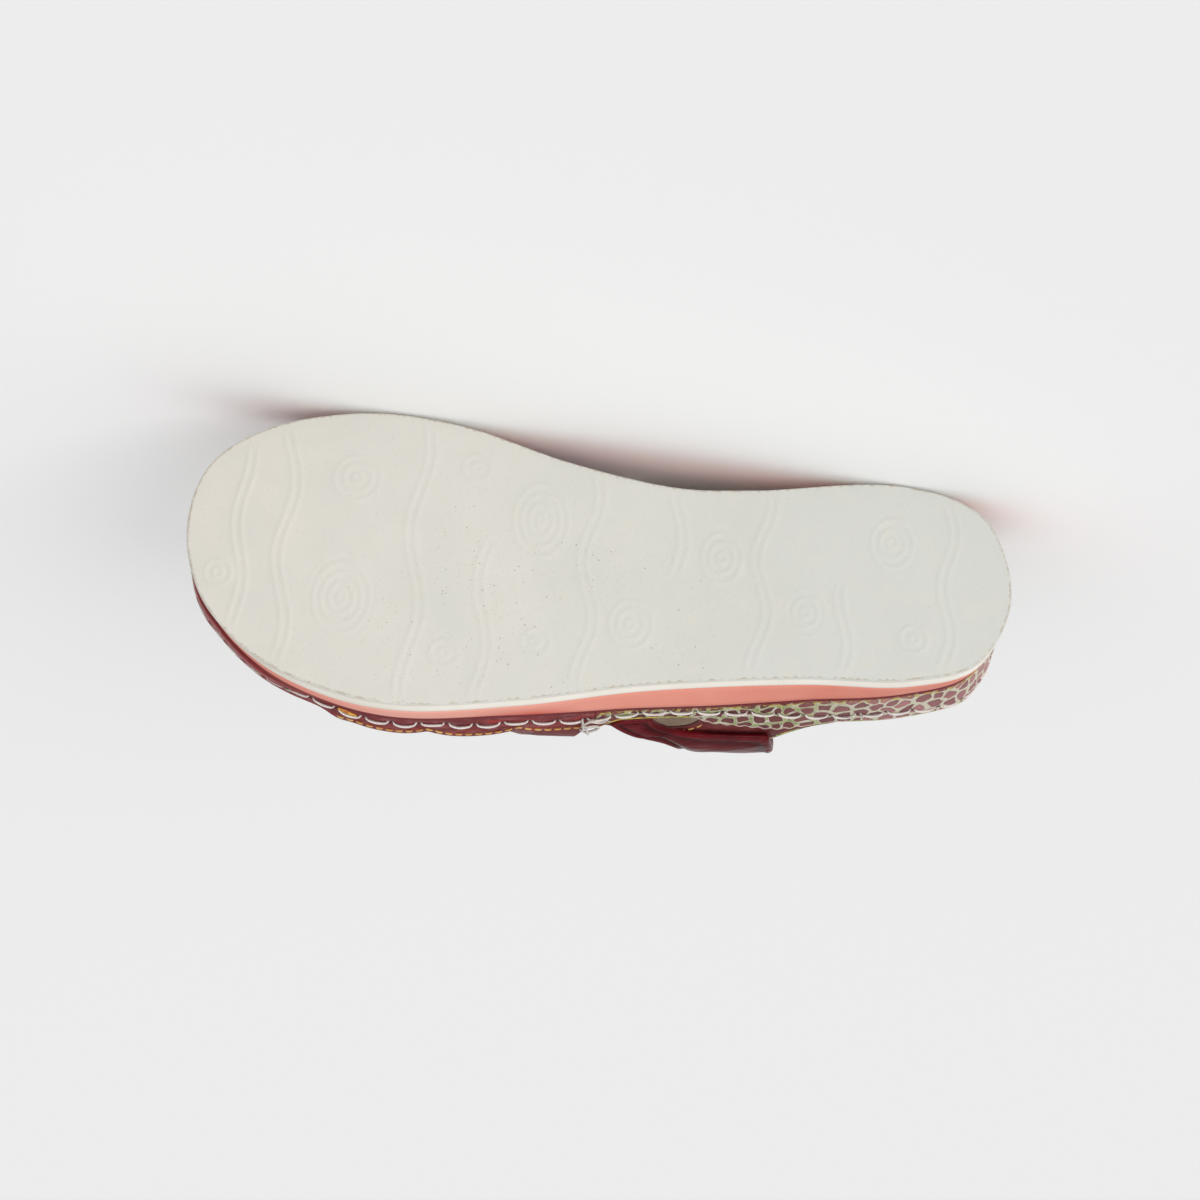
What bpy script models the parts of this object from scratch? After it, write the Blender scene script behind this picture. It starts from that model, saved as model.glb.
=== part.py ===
"""A slide sandal for the right foot, about EU 38, lying empty on its medial side.

The shoe is modelled standing, in millimetres: x runs from the heel back to the toe, y to
the medial (big toe) side and z up from the tread. Every piece is then parented to one empty
that lays the shoe down, rolled over until the sole's edge and the strap both touch the floor.
"""

import math
from collections import namedtuple

import bmesh
import bpy
import numpy as np
from mathutils import Matrix, Vector

# ---------------------------------------------------------------- driving dimensions, mm
MM = 0.001
MEDIAL, LATERAL = 1, -1
GAP = 0.3  # clearance where two pieces meet
OUTSOLE = 6.3  # rubber, from the tread to the underside of the midsole
TREAD_EDGE = 0.5  # bevel round the tread
RIM_WALL = 2.0  # leather of the rim bands
UPPER_WALL = 2.0  # leather and lining of the upper
STRAP_WALL = 2.8  # padded patent strap
STRAP_GAP = 0.5  # between upper and strap, measured square to both
STRAP_FOOT = 32.0  # about where the strap meets the rim band
SEAM = 1.0  # the strap stops this far above the rim band
BAND_SPLIT = 127.0  # x where the front and rear rim bands meet
RIM_STEP = 0.3  # the rim band's foot is set in this far from the midsole's edge
BED_BEVEL = 1.1  # round the footbed's top edge
BED_CUP = 2.6  # how flat the cupped footbed's middle is across the foot, 2 is a round dish
WALL_SHARE = 0.4  # share of the upper's half section that is side wall, the rest is crown
SPREAD_ABOVE = 1.0  # the upper's sides start to spread this far above the rim band
BEHIND_BALL = 60.0  # the heel's resting point lies at least this far behind the ball's
OFF_SOLE = 12.0  # only points this far from the sole's edge can be the third resting point

STATIONS = 36  # sections along the sole
RIM_STATIONS = {"front": 46, "rear": 56}  # from the split to the toe tip or the heel back
BED_COLUMNS = 7  # across the footbed
BED_FADE = {"heel": 4, "toe": 3}  # sections over which the cup runs out
UPPER_STEPS = {"along": 26, "wall": 6, "crown": 8}  # per half section round the foot
STRAP_STEPS = {"along": 16, "round": 20}

Place = namedtuple("Place", "name x y")
OUTLINE = (
    Place("heel back", 0.0, 0.0),
    Place("heel corner, medial", 9.5, 26.2),
    Place("heel, medial", 35.0, 34.6),
    Place("waist rear, medial", 82.0, 29.6),
    Place("waist, medial", 106.0, 28.5),
    Place("waist front, medial", 140.0, 34.2),
    Place("ball rear, medial", 174.0, 43.6),
    Place("ball, medial", 204.0, 46.1),
    Place("toe side, medial", 236.0, 39.3),
    Place("toe corner, medial", 252.6, 27.0),
    Place("toe tip", 258.0, 6.5),
    Place("toe corner, lateral", 251.4, -17.5),
    Place("toe side, lateral", 232.5, -36.6),
    Place("ball front, lateral", 210.0, -46.2),
    Place("ball, lateral", 188.0, -49.5),
    Place("waist front, lateral", 152.0, -45.3),
    Place("waist, lateral", 112.0, -37.3),
    Place("heel front, lateral", 64.0, -31.4),
    Place("heel, lateral", 30.0, -29.4),
    Place("heel corner, lateral", 9.5, -22.2),
)

# The sole pack at each section: how far the tread lifts off the ground, the height of the
# midsole, how far the top edges of outsole, midsole and rim band stand out from the tread's
# outline, the height of the footbed's middle over the midsole and how far its edge rises.
Sole = namedtuple("Sole", "x spring wedge tread_out wedge_out rim_out bed dish")
SOLE = (
    Sole(0, 0.0, 10.0, -0.3, -2.4, -1.2, 13.5, 7.0),
    Sole(15, 0.0, 9.6, 0.0, -1.7, -1.4, 13.0, 7.5),
    Sole(32, 0.0, 9.5, 0.2, -0.7, -0.5, 13.0, 8.0),
    Sole(48, 0.0, 10.8, 0.2, 0.4, 0.4, 12.0, 8.4),
    Sole(70, 0.0, 11.9, 0.2, 1.6, 1.6, 11.0, 8.0),
    Sole(95, 0.0, 10.8, 0.2, 2.6, 2.3, 10.0, 6.0),
    Sole(125, 0.0, 9.3, 0.2, 1.8, 1.7, 7.5, 4.5),
    Sole(144, 0.0, 7.6, 0.2, 1.0, 1.2, 6.8, 3.2),
    Sole(162, 0.0, 6.8, 0.2, 0.4, 0.9, 6.2, 2.2),
    Sole(180, 0.0, 6.4, 0.2, 0.3, 0.7, 5.8, 2.0),
    Sole(206, 1.0, 5.3, 0.2, 0.2, 0.0, 5.4, 1.8),
    Sole(222, 2.4, 5.0, -0.1, 0.0, -1.1, 5.8, 2.2),
    Sole(242, 5.0, 4.8, -1.2, -2.1, -2.0, 6.6, 2.5),
    Sole(258, 7.5, 4.6, -1.8, -3.2, -2.2, 7.2, 2.4),
)

# The rim bands' height over the midsole. It drops beside the instep, where the strap's side
# and the window show, and rises again where the two bands meet.
Rim = namedtuple("Rim", "x height")
RIM = (
    Rim(0, 21.5),
    Rim(15, 21.5),
    Rim(32, 22.3),
    Rim(48, 22.4),
    Rim(58, 24.2),
    Rim(67, 24.6),
    Rim(79, 22.6),
    Rim(90, 18.6),
    Rim(96, 12.2),
    Rim(104, 11.3),
    Rim(118, 11.6),
    Rim(127, 18.0),
    Rim(144, 18.0),
    Rim(162, 18.4),
    Rim(180, 16.0),
    Rim(206, 12.9),
    Rim(222, 10.4),
    Rim(242, 11.0),
    Rim(258, 10.6),
)

# The upper at each section: height at which its sides stand widest, how far those stand out
# from its foot, height of the crown, where the crown lies across, and the squareness of the
# arch (2 is an ellipse).
Upper = namedtuple("Upper", "x wide_z lateral_out medial_out crown_z crown_y square")
UPPER = (
    Upper(44, 44.0, 0.9, 1.0, 104.0, 2.0, 2.4),
    Upper(70, 48.0, 1.0, 1.6, 99.0, 2.0, 2.4),
    Upper(92, 47.0, 0.5, 3.5, 90.0, 2.5, 2.4),
    Upper(112, 42.0, 0.3, 3.0, 82.0, 3.0, 2.35),
    Upper(131, 37.5, 1.2, 1.5, 73.5, 3.0, 2.2),
    Upper(148, 35.5, 0.5, 0.0, 67.0, 3.0, 2.1),
    Upper(157, 31.0, -0.7, 0.0, 64.5, 3.0, 2.1),
    Upper(178, 26.0, 0.0, 0.0, 59.0, 3.0, 2.0),
    Upper(206, 23.0, 0.0, 0.0, 51.0, 2.0, 2.0),
)

Edge = namedtuple("Edge", "z x")  # the edges of the upper and strap, seen from the side
UPPER_REAR = (
    Edge(20, 44), Edge(39, 44.5), Edge(43, 47.5), Edge(45.5, 51), Edge(47.5, 57.0),
    Edge(52.5, 62.5), Edge(60, 67.5), Edge(70, 71.5), Edge(100, 72.5),
)
UPPER_FRONT = (Edge(18, 203), Edge(30, 201), Edge(42, 194), Edge(52, 184), Edge(60, 174))
STRAP_REAR = (Edge(30, 71.5), Edge(60, 69.5), Edge(95, 67))
STRAP_FRONT = {
    LATERAL: (Edge(30, 121.8), Edge(37.5, 115.8), Edge(44.2, 109.7), Edge(50.1, 104.7),
              Edge(54.7, 101.2), Edge(60, 98.6), Edge(68, 97.2), Edge(90, 97)),
    MEDIAL: (Edge(30, 114), Edge(45, 107), Edge(60, 101), Edge(90, 97)),
}

Corner = namedtuple("Corner", "x z")  # corners of the openings, seen from the side
STRAP_ARCH = (  # the lateral side of the strap is open below this line
    Corner(62.0, 55.2), Corner(70.3, 52.7), Corner(79.5, 50.2), Corner(90.8, 46.8),
    Corner(95.0, 45.3), Corner(99.5, 42.6), Corner(103.5, 38.6), Corner(107.0, 34.0),
    Corner(108.5, 30.0), Corner(108.5, 20.0), Corner(62.0, 20.0),
)
WINDOW = {"x": 101.0, "z": 36.8, "long": 8.0, "short": 7.0, "tilt": 20.0}
NOTCH = (  # the opening between vamp and strap, seen from the side
    Corner(118.5, 26.0), Corner(117.5, 31.5), Corner(113.0, 37.5), Corner(107.5, 44.2),
    Corner(103.5, 50.0), Corner(101.0, 56.0), Corner(101.5, 63.0), Corner(106.5, 67.5),
    Corner(114.5, 68.5), Corner(122.5, 66.5), Corner(128.5, 61.5), Corner(131.5, 54.0),
    Corner(131.5, 45.0),
    Corner(129.0, 37.0), Corner(126.0, 31.5), Corner(125.5, 26.0),
)

# Scallops of the front band's top edge: one pitch, where a dip falls, and how deep it is.
SCALLOP = {"pitch": 26.6, "dip_x": 180.0, "depth": 6.0, "from_x": 134.0, "to_x": 226.0}
SCALLOP_POINT = 1.5  # how sharp the dips are
SCALLOP_FADE = 8.0  # length over which the first and last scallop run out
UPPER_TUCK = {"rear": (30.0, 41.0), "front": (206.0, 218.0)}  # x where its tuck starts and ends

Look = namedtuple("Look", "colour roughness")
LOOKS = {
    "outsole": Look((0.72, 0.71, 0.66), 0.75),
    "midsole": Look((0.78, 0.25, 0.18), 0.62),
    "footbed": Look((0.62, 0.58, 0.52), 0.65),
    "rim_front": Look((0.17, 0.02, 0.02), 0.38),
    "rim_rear": Look((0.35, 0.30, 0.18), 0.42),
    "upper": Look((0.16, 0.015, 0.02), 0.35),
    "instep_strap": Look((0.20, 0.005, 0.012), 0.18),
}


# ---------------------------------------------------------------- curves and tables
def along(rows, column, x, key="x"):
    """A column of a section table at x, on a smooth curve that never overshoots its rows."""
    xs = np.array([getattr(row, key) for row in rows], float)
    ys = np.array([getattr(row, column) for row in rows], float)
    slopes = np.diff(ys) / np.diff(xs)
    tangents = np.concatenate([slopes[:1], np.zeros(len(xs) - 2), slopes[-1:]])
    for i in range(1, len(xs) - 1):
        before, after = slopes[i - 1], slopes[i]
        if before * after > 0:
            tangents[i] = 2 * before * after / (before + after)
    x = np.clip(x, xs[0], xs[-1])
    i = np.clip(np.searchsorted(xs, x) - 1, 0, len(xs) - 2)
    width = xs[i + 1] - xs[i]
    t = (x - xs[i]) / width
    start = (2 * t**3 - 3 * t**2 + 1) * ys[i] + (t**3 - 2 * t**2 + t) * width * tangents[i]
    end = (3 * t**2 - 2 * t**3) * ys[i + 1] + (t**3 - t**2) * width * tangents[i + 1]
    return start + end


def smooth_step(low, high, x):
    t = np.clip((x - low) / (high - low), 0.0, 1.0)
    return t * t * (3 - 2 * t)


def between(a, b, start, end, t):
    """The point on the line from a, passed at start, to b, passed at end."""
    return (a * (end - t) + b * (t - start)) / (end - start)


def closed_curve(points, per_span):
    """A centripetal Catmull-Rom curve round the points."""
    points = np.array(points, float)
    count = len(points)
    found = []
    for i in range(count):
        p0, p1, p2, p3 = (points[(i + k) % count] for k in (-1, 0, 1, 2))
        t1 = math.sqrt(np.linalg.norm(p1 - p0))
        t2 = t1 + math.sqrt(np.linalg.norm(p2 - p1))
        t3 = t2 + math.sqrt(np.linalg.norm(p3 - p2))
        for t in np.linspace(t1, t2, per_span, endpoint=False):
            a, b, c = (
                between(p0, p1, 0.0, t1, t), between(p1, p2, t1, t2, t),
                between(p2, p3, t2, t3, t),
            )
            ahead, behind = between(a, b, 0.0, t2, t), between(b, c, t1, t3, t)
            found.append(between(ahead, behind, t1, t2, t))
    return np.array(found)


def outline_sides():
    """Each side of the outline from heel to toe: x, y and the outward normal at each point."""
    curve = closed_curve([(place.x, place.y) for place in OUTLINE], 60)
    tangent = np.roll(curve, -1, axis=0) - np.roll(curve, 1, axis=0)
    normal = np.stack([-tangent[:, 1], tangent[:, 0]], axis=1)
    normal /= np.linalg.norm(normal, axis=1)[:, None]
    curve = np.hstack([curve, normal])
    heel, toe = np.argmin(curve[:, 0]), np.argmax(curve[:, 0])
    curve = np.roll(curve, -heel, axis=0)
    toe = (toe - heel) % len(curve)
    medial = curve[: toe + 1]
    lateral = np.vstack([curve[:1], curve[:toe - 1:-1]])
    return {MEDIAL: medial, LATERAL: lateral}


SIDES = outline_sides()
X_HEEL, X_TOE = SIDES[MEDIAL][0, 0], SIDES[MEDIAL][-1, 0]


def outline(x, side, out=0.0):
    """The point of the outline at x on one side, pushed out along the normal."""
    table = SIDES[side]
    y, nx, ny = (np.interp(x, table[:, 0], table[:, k]) for k in (1, 2, 3))
    return np.array([x + nx * out, y + ny * out])


def station_x(first=X_HEEL, last=X_TOE, count=STATIONS):
    """Sections along the sole, closer together where the ends curve."""
    turns = np.linspace(0.0, math.pi, count + 1)
    return (first + last) / 2 - (last - first) / 2 * np.cos(turns)


def sole(column, x):
    return along(SOLE, column, x)


# ---------------------------------------------------------------- mesh builders
def new_piece(name, points, faces, smooth_angle=40.0):
    """An object in the sandal's collection, laid down with the shoe, from points in mm."""
    mesh = bpy.data.meshes.new(name)
    bm = bmesh.new()
    verts = [bm.verts.new(Vector(point) * MM) for point in points]
    for face in faces:
        bm.faces.new([verts[k] for k in face])
    bm.to_mesh(mesh)
    bm.free()
    mesh.shade_smooth()
    mesh.set_sharp_from_angle(angle=math.radians(smooth_angle))
    look = LOOKS[name]
    material = bpy.data.materials.new(name)
    material.use_nodes = True
    shader = material.node_tree.nodes["Principled BSDF"]
    shader.inputs["Base Color"].default_value = (*look.colour, 1.0)
    shader.inputs["Roughness"].default_value = look.roughness
    mesh.materials.append(material)
    piece = bpy.data.objects.new(name, mesh)
    parts.objects.link(piece)
    piece.parent = lying
    return piece


def new_cutter(name, across, points):
    """A prism of the side-view outline `points`, from the first to the last y of `across`."""
    mesh = bpy.data.meshes.new(name)
    bm = bmesh.new()
    near, far = (
        [bm.verts.new(Vector((p.x, y, p.z)) * MM) for p in points] for y in across
    )
    bm.faces.new(near)
    bm.faces.new(far[::-1])
    for i in range(len(points)):
        j = (i + 1) % len(points)
        bm.faces.new([near[j], near[i], far[i], far[j]])
    bmesh.ops.recalc_face_normals(bm, faces=bm.faces)
    bm.to_mesh(mesh)
    bm.free()
    cutter = bpy.data.objects.new(name, mesh)
    cutters.objects.link(cutter)
    cutter.parent = lying
    cutter.hide_render = True
    cutter.display_type = "WIRE"
    return cutter


def cut(piece, cutter):
    modifier = piece.modifiers.new(cutter.name, "BOOLEAN")
    modifier.operation = "DIFFERENCE"
    modifier.object = cutter


def ring(out, height):
    """A closed ring round the sole: heel back, medial side, toe tip, lateral side."""
    xs = station_x()
    points = [(*outline(x, MEDIAL, out(x)), height(x)) for x in xs]
    points += [(*outline(x, LATERAL, out(x)), height(x)) for x in xs[-2:0:-1]]
    return points


def wall_faces(levels, count):
    """Quads between rings stacked on one another, facing out."""
    faces = []
    for level in range(levels - 1):
        for k in range(count):
            nxt = (k + 1) % count
            low, high = level * count, (level + 1) * count
            faces.append((low + k, high + k, high + nxt, low + nxt))
    return faces


def rungs(start, count):
    """A ring filled with straight rungs from its medial to its lateral side, facing down."""
    half = count // 2
    faces = [(start, start + 1, start + count - 1)]
    for k in range(1, half - 1):
        faces.append((start + k, start + k + 1, start + count - k - 1, start + count - k))
    faces.append((start + half - 1, start + half, start + half + 1))
    return faces


def flipped(faces):
    return [tuple(reversed(face)) for face in faces]


def sole_slab(name, rings):
    """A slab of the sole: rings from bottom to top, closed with rungs."""
    count = len(rings[0])
    points = [point for level in rings for point in level]
    faces = rungs(0, count) + wall_faces(len(rings), count)
    faces += flipped(rungs((len(rings) - 1) * count, count))
    return new_piece(name, points, faces)


def sheet_faces(rows, columns):
    """Quads of a grid of rows by columns."""
    return [
        (r * columns + c, r * columns + c + 1, (r + 1) * columns + c + 1, (r + 1) * columns + c)
        for r in range(rows - 1)
        for c in range(columns - 1)
    ]


# ---------------------------------------------------------------- heights of the sole pack
def wedge_base(x):
    return sole("spring", x) + OUTSOLE


def wedge_top(x):
    return wedge_base(x) + sole("wedge", x)


def scallop(x):
    """How far the front band's top edge is cut down between its scallops."""
    phase = (x - SCALLOP["dip_x"]) / SCALLOP["pitch"]
    dip = (1.0 - abs(math.sin(math.pi * phase))) ** SCALLOP_POINT
    ends = smooth_step(SCALLOP["from_x"], SCALLOP["from_x"] + SCALLOP_FADE, x)
    ends *= 1.0 - smooth_step(SCALLOP["to_x"] - SCALLOP_FADE, SCALLOP["to_x"], x)
    return SCALLOP["depth"] * dip * ends


def rim_top(x):
    return wedge_top(x) + along(RIM, "height", x) - scallop(x)


def upper_zone(x):
    """1 along the upper, where its wall is tucked inside the rim band, and 0 beyond it."""
    return smooth_step(*UPPER_TUCK["rear"], x) * (1.0 - smooth_step(*UPPER_TUCK["front"], x))


def rim_face(x, share):
    """How far the rim band's outer face stands out, at a share of its height."""
    foot = sole("wedge_out", x) - RIM_STEP
    return foot + (sole("rim_out", x) - foot) * share


def foot_out(x):
    """Offset of the upper's outer face where it is tucked inside the rim band."""
    return min(rim_face(x, 0.0), rim_face(x, 1.0)) - RIM_WALL - GAP


# ---------------------------------------------------------------- sole, footbed and rim
def build_outsole():
    top = OUTSOLE - GAP
    sole_slab("outsole", (
        ring(lambda x: -TREAD_EDGE, lambda x: sole("spring", x)),
        ring(lambda x: 0.0, lambda x: sole("spring", x) + TREAD_EDGE),
        ring(lambda x: sole("tread_out", x), lambda x: sole("spring", x) + top),
    ))


def build_midsole():
    def side(share):
        return lambda x: sole("tread_out", x) * (1 - share) + sole("wedge_out", x) * share

    def height(share):
        return lambda x: wedge_base(x) + sole("wedge", x) * share

    sole_slab("midsole", [ring(side(share), height(share)) for share in (0.0, 0.5, 1.0)])


def build_footbed():
    """The bed's side rings, then a cupped top whose rungs dip to the middle of the foot."""
    def side(share):
        def out(x):
            beyond = rim_face(x, share) - RIM_WALL - GAP
            beside = foot_out(x) - UPPER_WALL - 1.5 * GAP
            return beyond + (beside - beyond) * upper_zone(x)
        return out

    def edge(x):
        return wedge_top(x) + sole("bed", x) + sole("dish", x)

    rings = [
        ring(side(0.0), lambda x: wedge_top(x) + GAP),
        ring(side(0.8), lambda x: edge(x) - BED_BEVEL),
        ring(lambda x: side(1.0)(x) - BED_BEVEL, edge),
    ]
    count = len(rings[0])
    points = [point for level in rings for point in level]
    faces = rungs(0, count) + wall_faces(len(rings), count)
    top = 2 * count
    half = count // 2
    rows = [[top]]
    for k in range(1, half):
        start, end = np.array(points[top + k]), np.array(points[top + count - k])
        row = [top + k]
        fade = min(1.0, k / BED_FADE["heel"], (half - k) / BED_FADE["toe"])
        for j in range(1, BED_COLUMNS):
            share = j / BED_COLUMNS
            point = start + (end - start) * share
            dip = 1.0 - abs(2 * share - 1) ** BED_CUP
            point[2] -= sole("dish", point[0]) * dip * fade
            row.append(len(points))
            points.append(tuple(point))
        row.append(top + count - k)
        rows.append(row)
    rows.append([top + half])
    for low, high in zip(rows, rows[1:]):
        if len(low) == 1:
            faces += [(low[0], high[j + 1], high[j]) for j in range(len(high) - 1)]
        elif len(high) == 1:
            faces += [(low[j], low[j + 1], high[0]) for j in range(len(low) - 1)]
        else:
            faces += [(low[j], low[j + 1], high[j + 1], high[j]) for j in range(len(low) - 1)]
    new_piece("footbed", points, faces)


Profile = namedtuple("Profile", "share depth")
RIM_PROFILE = (  # round the wall's section: share of its height, depth in from the outer face
    Profile(0.0, 0.4), Profile(0.1, 0.0), Profile(0.55, 0.0), Profile(0.96, 0.0),
    Profile(1.0, 0.5), Profile(1.0, 1.5), Profile(0.96, 2.0), Profile(0.5, 2.0),
    Profile(0.0, 2.0),
)


def rim_stations(front):
    """(x, side) round the toe from the lateral to the medial split, or round the heel."""
    split = BAND_SPLIT + (GAP / 2 if front else -GAP / 2)
    end = X_TOE if front else X_HEEL
    count = RIM_STATIONS["front" if front else "rear"]
    xs = split + (end - split) * np.cos(np.linspace(math.pi / 2, 0.0, count))
    lateral = [(x, LATERAL) for x in xs]
    medial = [(x, MEDIAL) for x in xs[-2::-1]]
    return lateral + medial


def build_rim(name, front):
    stops = rim_stations(front)
    points = []
    for x, side in stops:
        base = wedge_top(x) + GAP
        height = rim_top(x) - base
        for row in RIM_PROFILE:
            out = rim_face(x, row.share) - row.depth
            points.append((*outline(x, side, out), base + height * row.share))
    size = len(RIM_PROFILE)
    faces = []
    for k in range(len(stops) - 1):
        for j in range(size):
            nxt = (j + 1) % size
            a, b = k * size, (k + 1) * size
            faces.append((a + j, b + j, b + nxt, a + nxt))
    faces.append(tuple(range(size)))
    faces.append(tuple(range((len(stops) - 1) * size, len(stops) * size))[::-1])
    if not front:
        faces = flipped(faces)
    new_piece(name, points, faces, smooth_angle=50.0)


# ---------------------------------------------------------------- upper and strap
def upper_point(x, s, lift=0.0):
    """The upper's outer face at section x: s is -1 at the lateral foot, 0 at the crown and 1
    at the medial foot. Lift moves the point out along the section's normal."""
    side = MEDIAL if s > 0 else LATERAL
    share = abs(s)
    foot_z = wedge_top(x) + 2 * GAP
    foot_y = outline(x, side, foot_out(x))[1]
    wide_z = along(UPPER, "wide_z", x)
    spread = along(UPPER, "medial_out" if side is MEDIAL else "lateral_out", x)
    wide_y = foot_y + side * spread
    crown_y, crown_z = along(UPPER, "crown_y", x), along(UPPER, "crown_z", x)
    spread_z = rim_top(x) + SPREAD_ABOVE
    if share >= 1 - WALL_SHARE:
        z = wide_z + (foot_z - wide_z) * (share - 1 + WALL_SHARE) / WALL_SHARE
        y = foot_y + (wide_y - foot_y) * smooth_step(min(spread_z, wide_z - 4), wide_z, z)
        return np.array([x, y + side * lift, z])
    turn = (1 - share / (1 - WALL_SHARE)) * math.pi / 2
    power = 2 / along(UPPER, "square", x)
    across, up = wide_y - crown_y, crown_z - wide_z
    y = crown_y + across * math.cos(turn) ** power
    z = wide_z + up * math.sin(turn) ** power
    normal = np.array([
        math.cos(turn) ** (2 - power) / abs(across) * side,
        math.sin(turn) ** (2 - power) / up,
    ])
    normal /= np.linalg.norm(normal)
    return np.array([x, y + normal[0] * lift, z + normal[1] * lift])


def share_at(x, z):
    """The share of the half section at which the upper's outer face is at height z."""
    foot_z, wide_z = wedge_top(x) + 2 * GAP, along(UPPER, "wide_z", x)
    if z <= wide_z:
        return 1 - WALL_SHARE + WALL_SHARE * (wide_z - z) / (wide_z - foot_z)
    power = 2 / along(UPPER, "square", x)
    rise = (z - wide_z) / (along(UPPER, "crown_z", x) - wide_z)
    return (1 - WALL_SHARE) * (1 - math.asin(min(rise, 1.0) ** (1 / power)) * 2 / math.pi)


def edge_x(edge, s):
    """Where the side-view edge crosses the upper at share s."""
    x = edge[-1].x
    for _ in range(12):
        x = (x + along(edge, "x", upper_point(x, s)[2], key="z")) / 2
    return x


def thicken(piece, wall, offset):
    modifier = piece.modifiers.new("wall", "SOLIDIFY")
    modifier.thickness = wall * MM
    modifier.offset = offset
    modifier.use_even_offset = True


def half_shares(wall_steps, crown_steps):
    """Shares of the whole section, from the lateral foot over the crown to the medial foot."""
    wall = np.linspace(1.0, 1 - WALL_SHARE, wall_steps + 1)
    crown = np.linspace(1 - WALL_SHARE, 0.0, crown_steps + 1)[1:]
    half = np.concatenate([wall, crown])
    return np.concatenate([-half, half[-2::-1]])


def build_upper():
    shares = half_shares(UPPER_STEPS["wall"], UPPER_STEPS["crown"])
    columns = UPPER_STEPS["along"] + 1
    points = []
    for s in shares:
        rear, front = edge_x(UPPER_REAR, s), edge_x(UPPER_FRONT, s)
        points += [upper_point(x, s) for x in np.linspace(rear, front, columns)]
    piece = new_piece("upper", points, sheet_faces(len(shares), columns))
    thicken(piece, UPPER_WALL, -1.0)
    turns = np.linspace(0.0, 2 * math.pi, 20, endpoint=False)
    lean = math.radians(WINDOW["tilt"])
    oval = []
    for turn in turns:
        long, short = WINDOW["long"] * math.cos(turn), WINDOW["short"] * math.sin(turn)
        oval.append(Corner(
            WINDOW["x"] - long * math.cos(lean) - short * math.sin(lean),
            WINDOW["z"] + long * math.sin(lean) - short * math.cos(lean),
        ))
    cut(piece, new_cutter("window_cutter", (-60, -15), oval))
    cut(piece, new_cutter("notch_cutter", (-70, 70), NOTCH))


def strap_line(across, side, steps):
    """Points of the strap's inner face from the rim band up to the crown. Across is 0 on the
    strap's rear edge and 1 on its front edge."""
    def x_at(z):
        rear, front = (along(edge, "x", z, key="z") for edge in (STRAP_REAR, STRAP_FRONT[side]))
        return rear + (front - rear) * across

    foot_x = x_at(STRAP_FOOT)
    for _ in range(12):
        foot_x = x_at(rim_top(foot_x) + SEAM)
    line = []
    for share in np.linspace(share_at(foot_x, rim_top(foot_x) + SEAM), 0.0, steps + 1):
        x = foot_x
        for _ in range(12):
            x = (x + x_at(upper_point(x, side * share)[2])) / 2
        line.append(upper_point(x, side * max(share, 1e-6), STRAP_GAP))
    return line


def build_strap():
    """The rows of the sheet run across the foot, from the strap's rear edge to its front."""
    points = []
    rows = STRAP_STEPS["along"] + 1
    for across in np.linspace(0.0, 1.0, rows):
        points += strap_line(across, LATERAL, STRAP_STEPS["round"])
        points += strap_line(across, MEDIAL, STRAP_STEPS["round"])[-2::-1]
    piece = new_piece("instep_strap", points, flipped(sheet_faces(rows, len(points) // rows)))
    thicken(piece, STRAP_WALL, 1.0)
    cut(piece, new_cutter("arch_cutter", (-70, -15), STRAP_ARCH))


# ---------------------------------------------------------------- laying the shoe down
def world_points():
    """Every point of the pieces as modelled, standing, in metres."""
    graph = bpy.context.evaluated_depsgraph_get()
    found = []
    for piece in parts.objects:
        if piece.type != "MESH":
            continue
        mesh = piece.evaluated_get(graph).to_mesh()
        found += [vertex.co.copy() for vertex in mesh.vertices]
        piece.evaluated_get(graph).to_mesh_clear()
    return np.array(found)


def resting_plane(points):
    """The plane that the shoe comes to rest on: it turns on its two lowest points of the sole
    until a third point touches. Returns a point of the plane and its normal into the floor."""
    ball = points[np.argmax(points[:, 1])]
    behind = points[points[:, 0] < ball[0] - BEHIND_BALL * MM]
    slope = np.arctan2(ball[1] - behind[:, 1], ball[0] - behind[:, 0])
    heel = behind[np.argmin(slope)]
    line = (ball - heel) / np.linalg.norm(ball - heel)
    away = np.cross(line, (0.0, 0.0, 1.0))
    away *= np.sign(away[1]) / np.linalg.norm(away)
    up = np.cross(away, line)
    up *= np.sign(up[2])
    beyond = points[(points - heel) @ up > OFF_SOLE * MM]
    gap = beyond - heel
    turn = np.min(np.arctan2(-(gap @ away), gap @ up))
    return heel, away * math.cos(turn) + up * math.sin(turn)


def lay_down():
    """Turns the empty so that the resting plane is the floor and the origin is under the
    middle of the shoe's box."""
    points = world_points()
    _, down = resting_plane(points)
    z_axis = Vector(-down)
    toe = Vector((1.0, 0.0, 0.0))
    x_axis = (toe - z_axis * toe.dot(z_axis)).normalized()
    y_axis = z_axis.cross(x_axis)
    turn = Matrix((x_axis, y_axis, z_axis)).to_4x4()
    turned = points @ np.array(turn.to_3x3()).T
    low, high = turned.min(axis=0), turned.max(axis=0)
    move = Vector((-(low[0] + high[0]) / 2, -(low[1] + high[1]) / 2, -low[2]))
    lying.matrix_world = Matrix.Translation(move) @ turn


for old in list(bpy.data.objects):
    bpy.data.objects.remove(old)
parts = bpy.data.collections.new("slide_sandal")
cutters = bpy.data.collections.new("cutters")
for collection in (parts, cutters):
    bpy.context.scene.collection.children.link(collection)
lying = bpy.data.objects.new("lying_shoe", None)
parts.objects.link(lying)

build_outsole()
build_midsole()
build_footbed()
build_rim("rim_front", front=True)
build_rim("rim_rear", front=False)
build_upper()
build_strap()
bpy.context.view_layer.update()
lay_down()
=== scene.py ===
import math
from collections import namedtuple

import bpy
import numpy as np
from mathutils import Matrix, Vector


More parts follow.
